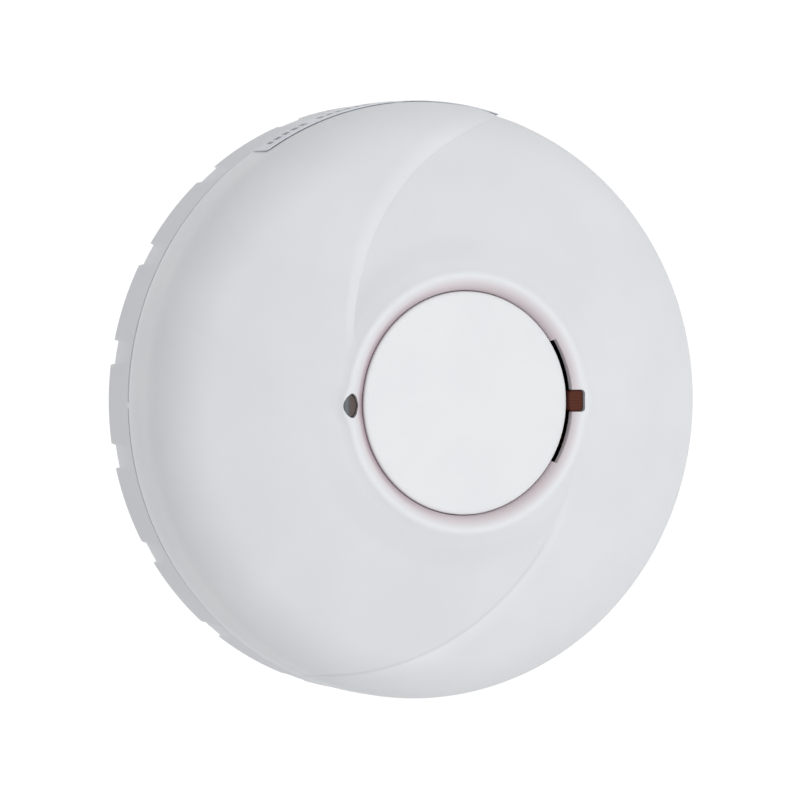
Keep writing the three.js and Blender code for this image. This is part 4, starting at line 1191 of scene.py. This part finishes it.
# %% Sounder housing
sounder_low, sounder_high = box_mm("sounder_housing")
sounder_radius = (sounder_high.x - sounder_low.x) / 2
low, high = sounder_low.z, sounder_high.z
housing = turned("housing", [
    (sounder_radius - 1.2, low), (sounder_radius, low), (sounder_radius, high - 1.0),
    (sounder_radius - 0.3, high - 0.3), (sounder_radius - 1.0, high), (5.2, high), (4.9, high - 0.4),
    (3.4, high - 0.4), (3.0, high - 0.6), (3.0, high - 1.2), (sounder_radius - 1.2, high - 1.2),
], steps=96)
move_piece(housing, (sounder_low.x + sounder_high.x) / 2, (sounder_low.y + sounder_high.y) / 2)
housing.data.materials.clear()
housing.data.materials.append(black_plastic)
stand_for(housing, "sounder_housing")

# %% [markdown]
# ## Finishes of the other inside pieces
# The board, its small parts, the chamber base and the metal strips have the
# right shape already. They keep their nodes, and each gets the finish of its
# slot in place of the plain colour it was packed with.

# %% Put a finish on every node that stays
finishes = {
    "black_plastic": black_plastic, "steel": steel, "brass": brass, "copper": copper, "board": board_green,
    "battery_sleeve": battery_sleeve, "clear_lens": clear_lens, "tinted_lens": tinted_lens,
    "chassis_plastic": chassis_plastic, "button_plastic": button_plastic, "cover_plastic": cover_plastic,
    "base_plastic": base_plastic, "label": label_film,
}
for name, node in nodes.items():
    if node.hide_render:
        continue
    for place_in_list in range(len(node.data.materials)):
        packed = node.data.materials[place_in_list].name.split(".")[0]
        node.data.materials[place_in_list] = finishes[packed]
        print(f"{name}: {packed}")

# %% [markdown]
# ## Floor and light
# A plain white ground stands well behind the alarm, so that it never hides
# the rear. The light is soft: one large square lamp almost straight in front,
# a little to the right, and a pale sky all round.

# %% Floor
FLOOR_SIZE = 24.0
FLOOR_DROP = 1.2
start_clean()
bpy.ops.mesh.primitive_plane_add(size=FLOOR_SIZE)
floor = bpy.context.object
floor.name = "table"
edit()
bpy.ops.mesh.select_all(action="SELECT")
bpy.ops.transform.translate(value=(0, 0, -FLOOR_DROP))
finish_edit()
table_white, tree, shader, place = new_finish("table_white")
table_tone = ramp(tree, noise(tree, place, 40), [(0.4, (0.985, 0.985, 0.985)), (0.6, (1.0, 1.0, 1.0))])
tree.links.new(table_tone, shader.inputs["Emission Color"])
shader.inputs["Base Color"].default_value = (0.1, 0.1, 0.1, 1)
shader.inputs["Emission Strength"].default_value = 1.0
shader.inputs["Roughness"].default_value = 1.0
shader.inputs["Specular IOR Level"].default_value = 0.0
floor.data.materials.append(table_white)

# %% Light
SKY_STRENGTH = 0.40
LAMP_PLACE = (0.22, 0.0, 1.4)
LAMP_SIZE = 0.6
LAMP_POWER = 11.5
scene = bpy.context.scene
scene.view_settings.view_transform = "Standard"
sky = bpy.data.worlds.new("pale_sky")
sky.use_nodes = True
sky.node_tree.nodes["Background"].inputs["Color"].default_value = (0.97, 0.98, 1.0, 1)
sky.node_tree.nodes["Background"].inputs["Strength"].default_value = SKY_STRENGTH
scene.world = sky


def soft_lamp(name, place, size, power):
    """A large square lamp that looks at the alarm."""
    start_clean()
    bpy.ops.object.light_add(type="AREA")
    lamp = bpy.context.object
    lamp.name = name
    lamp.data.size = size
    lamp.data.energy = power
    lamp.matrix_world = Matrix.Translation(place) @ Vector(place).to_track_quat("Z", "Y").to_matrix().to_4x4()


soft_lamp("front_lamp", LAMP_PLACE, LAMP_SIZE, LAMP_POWER)
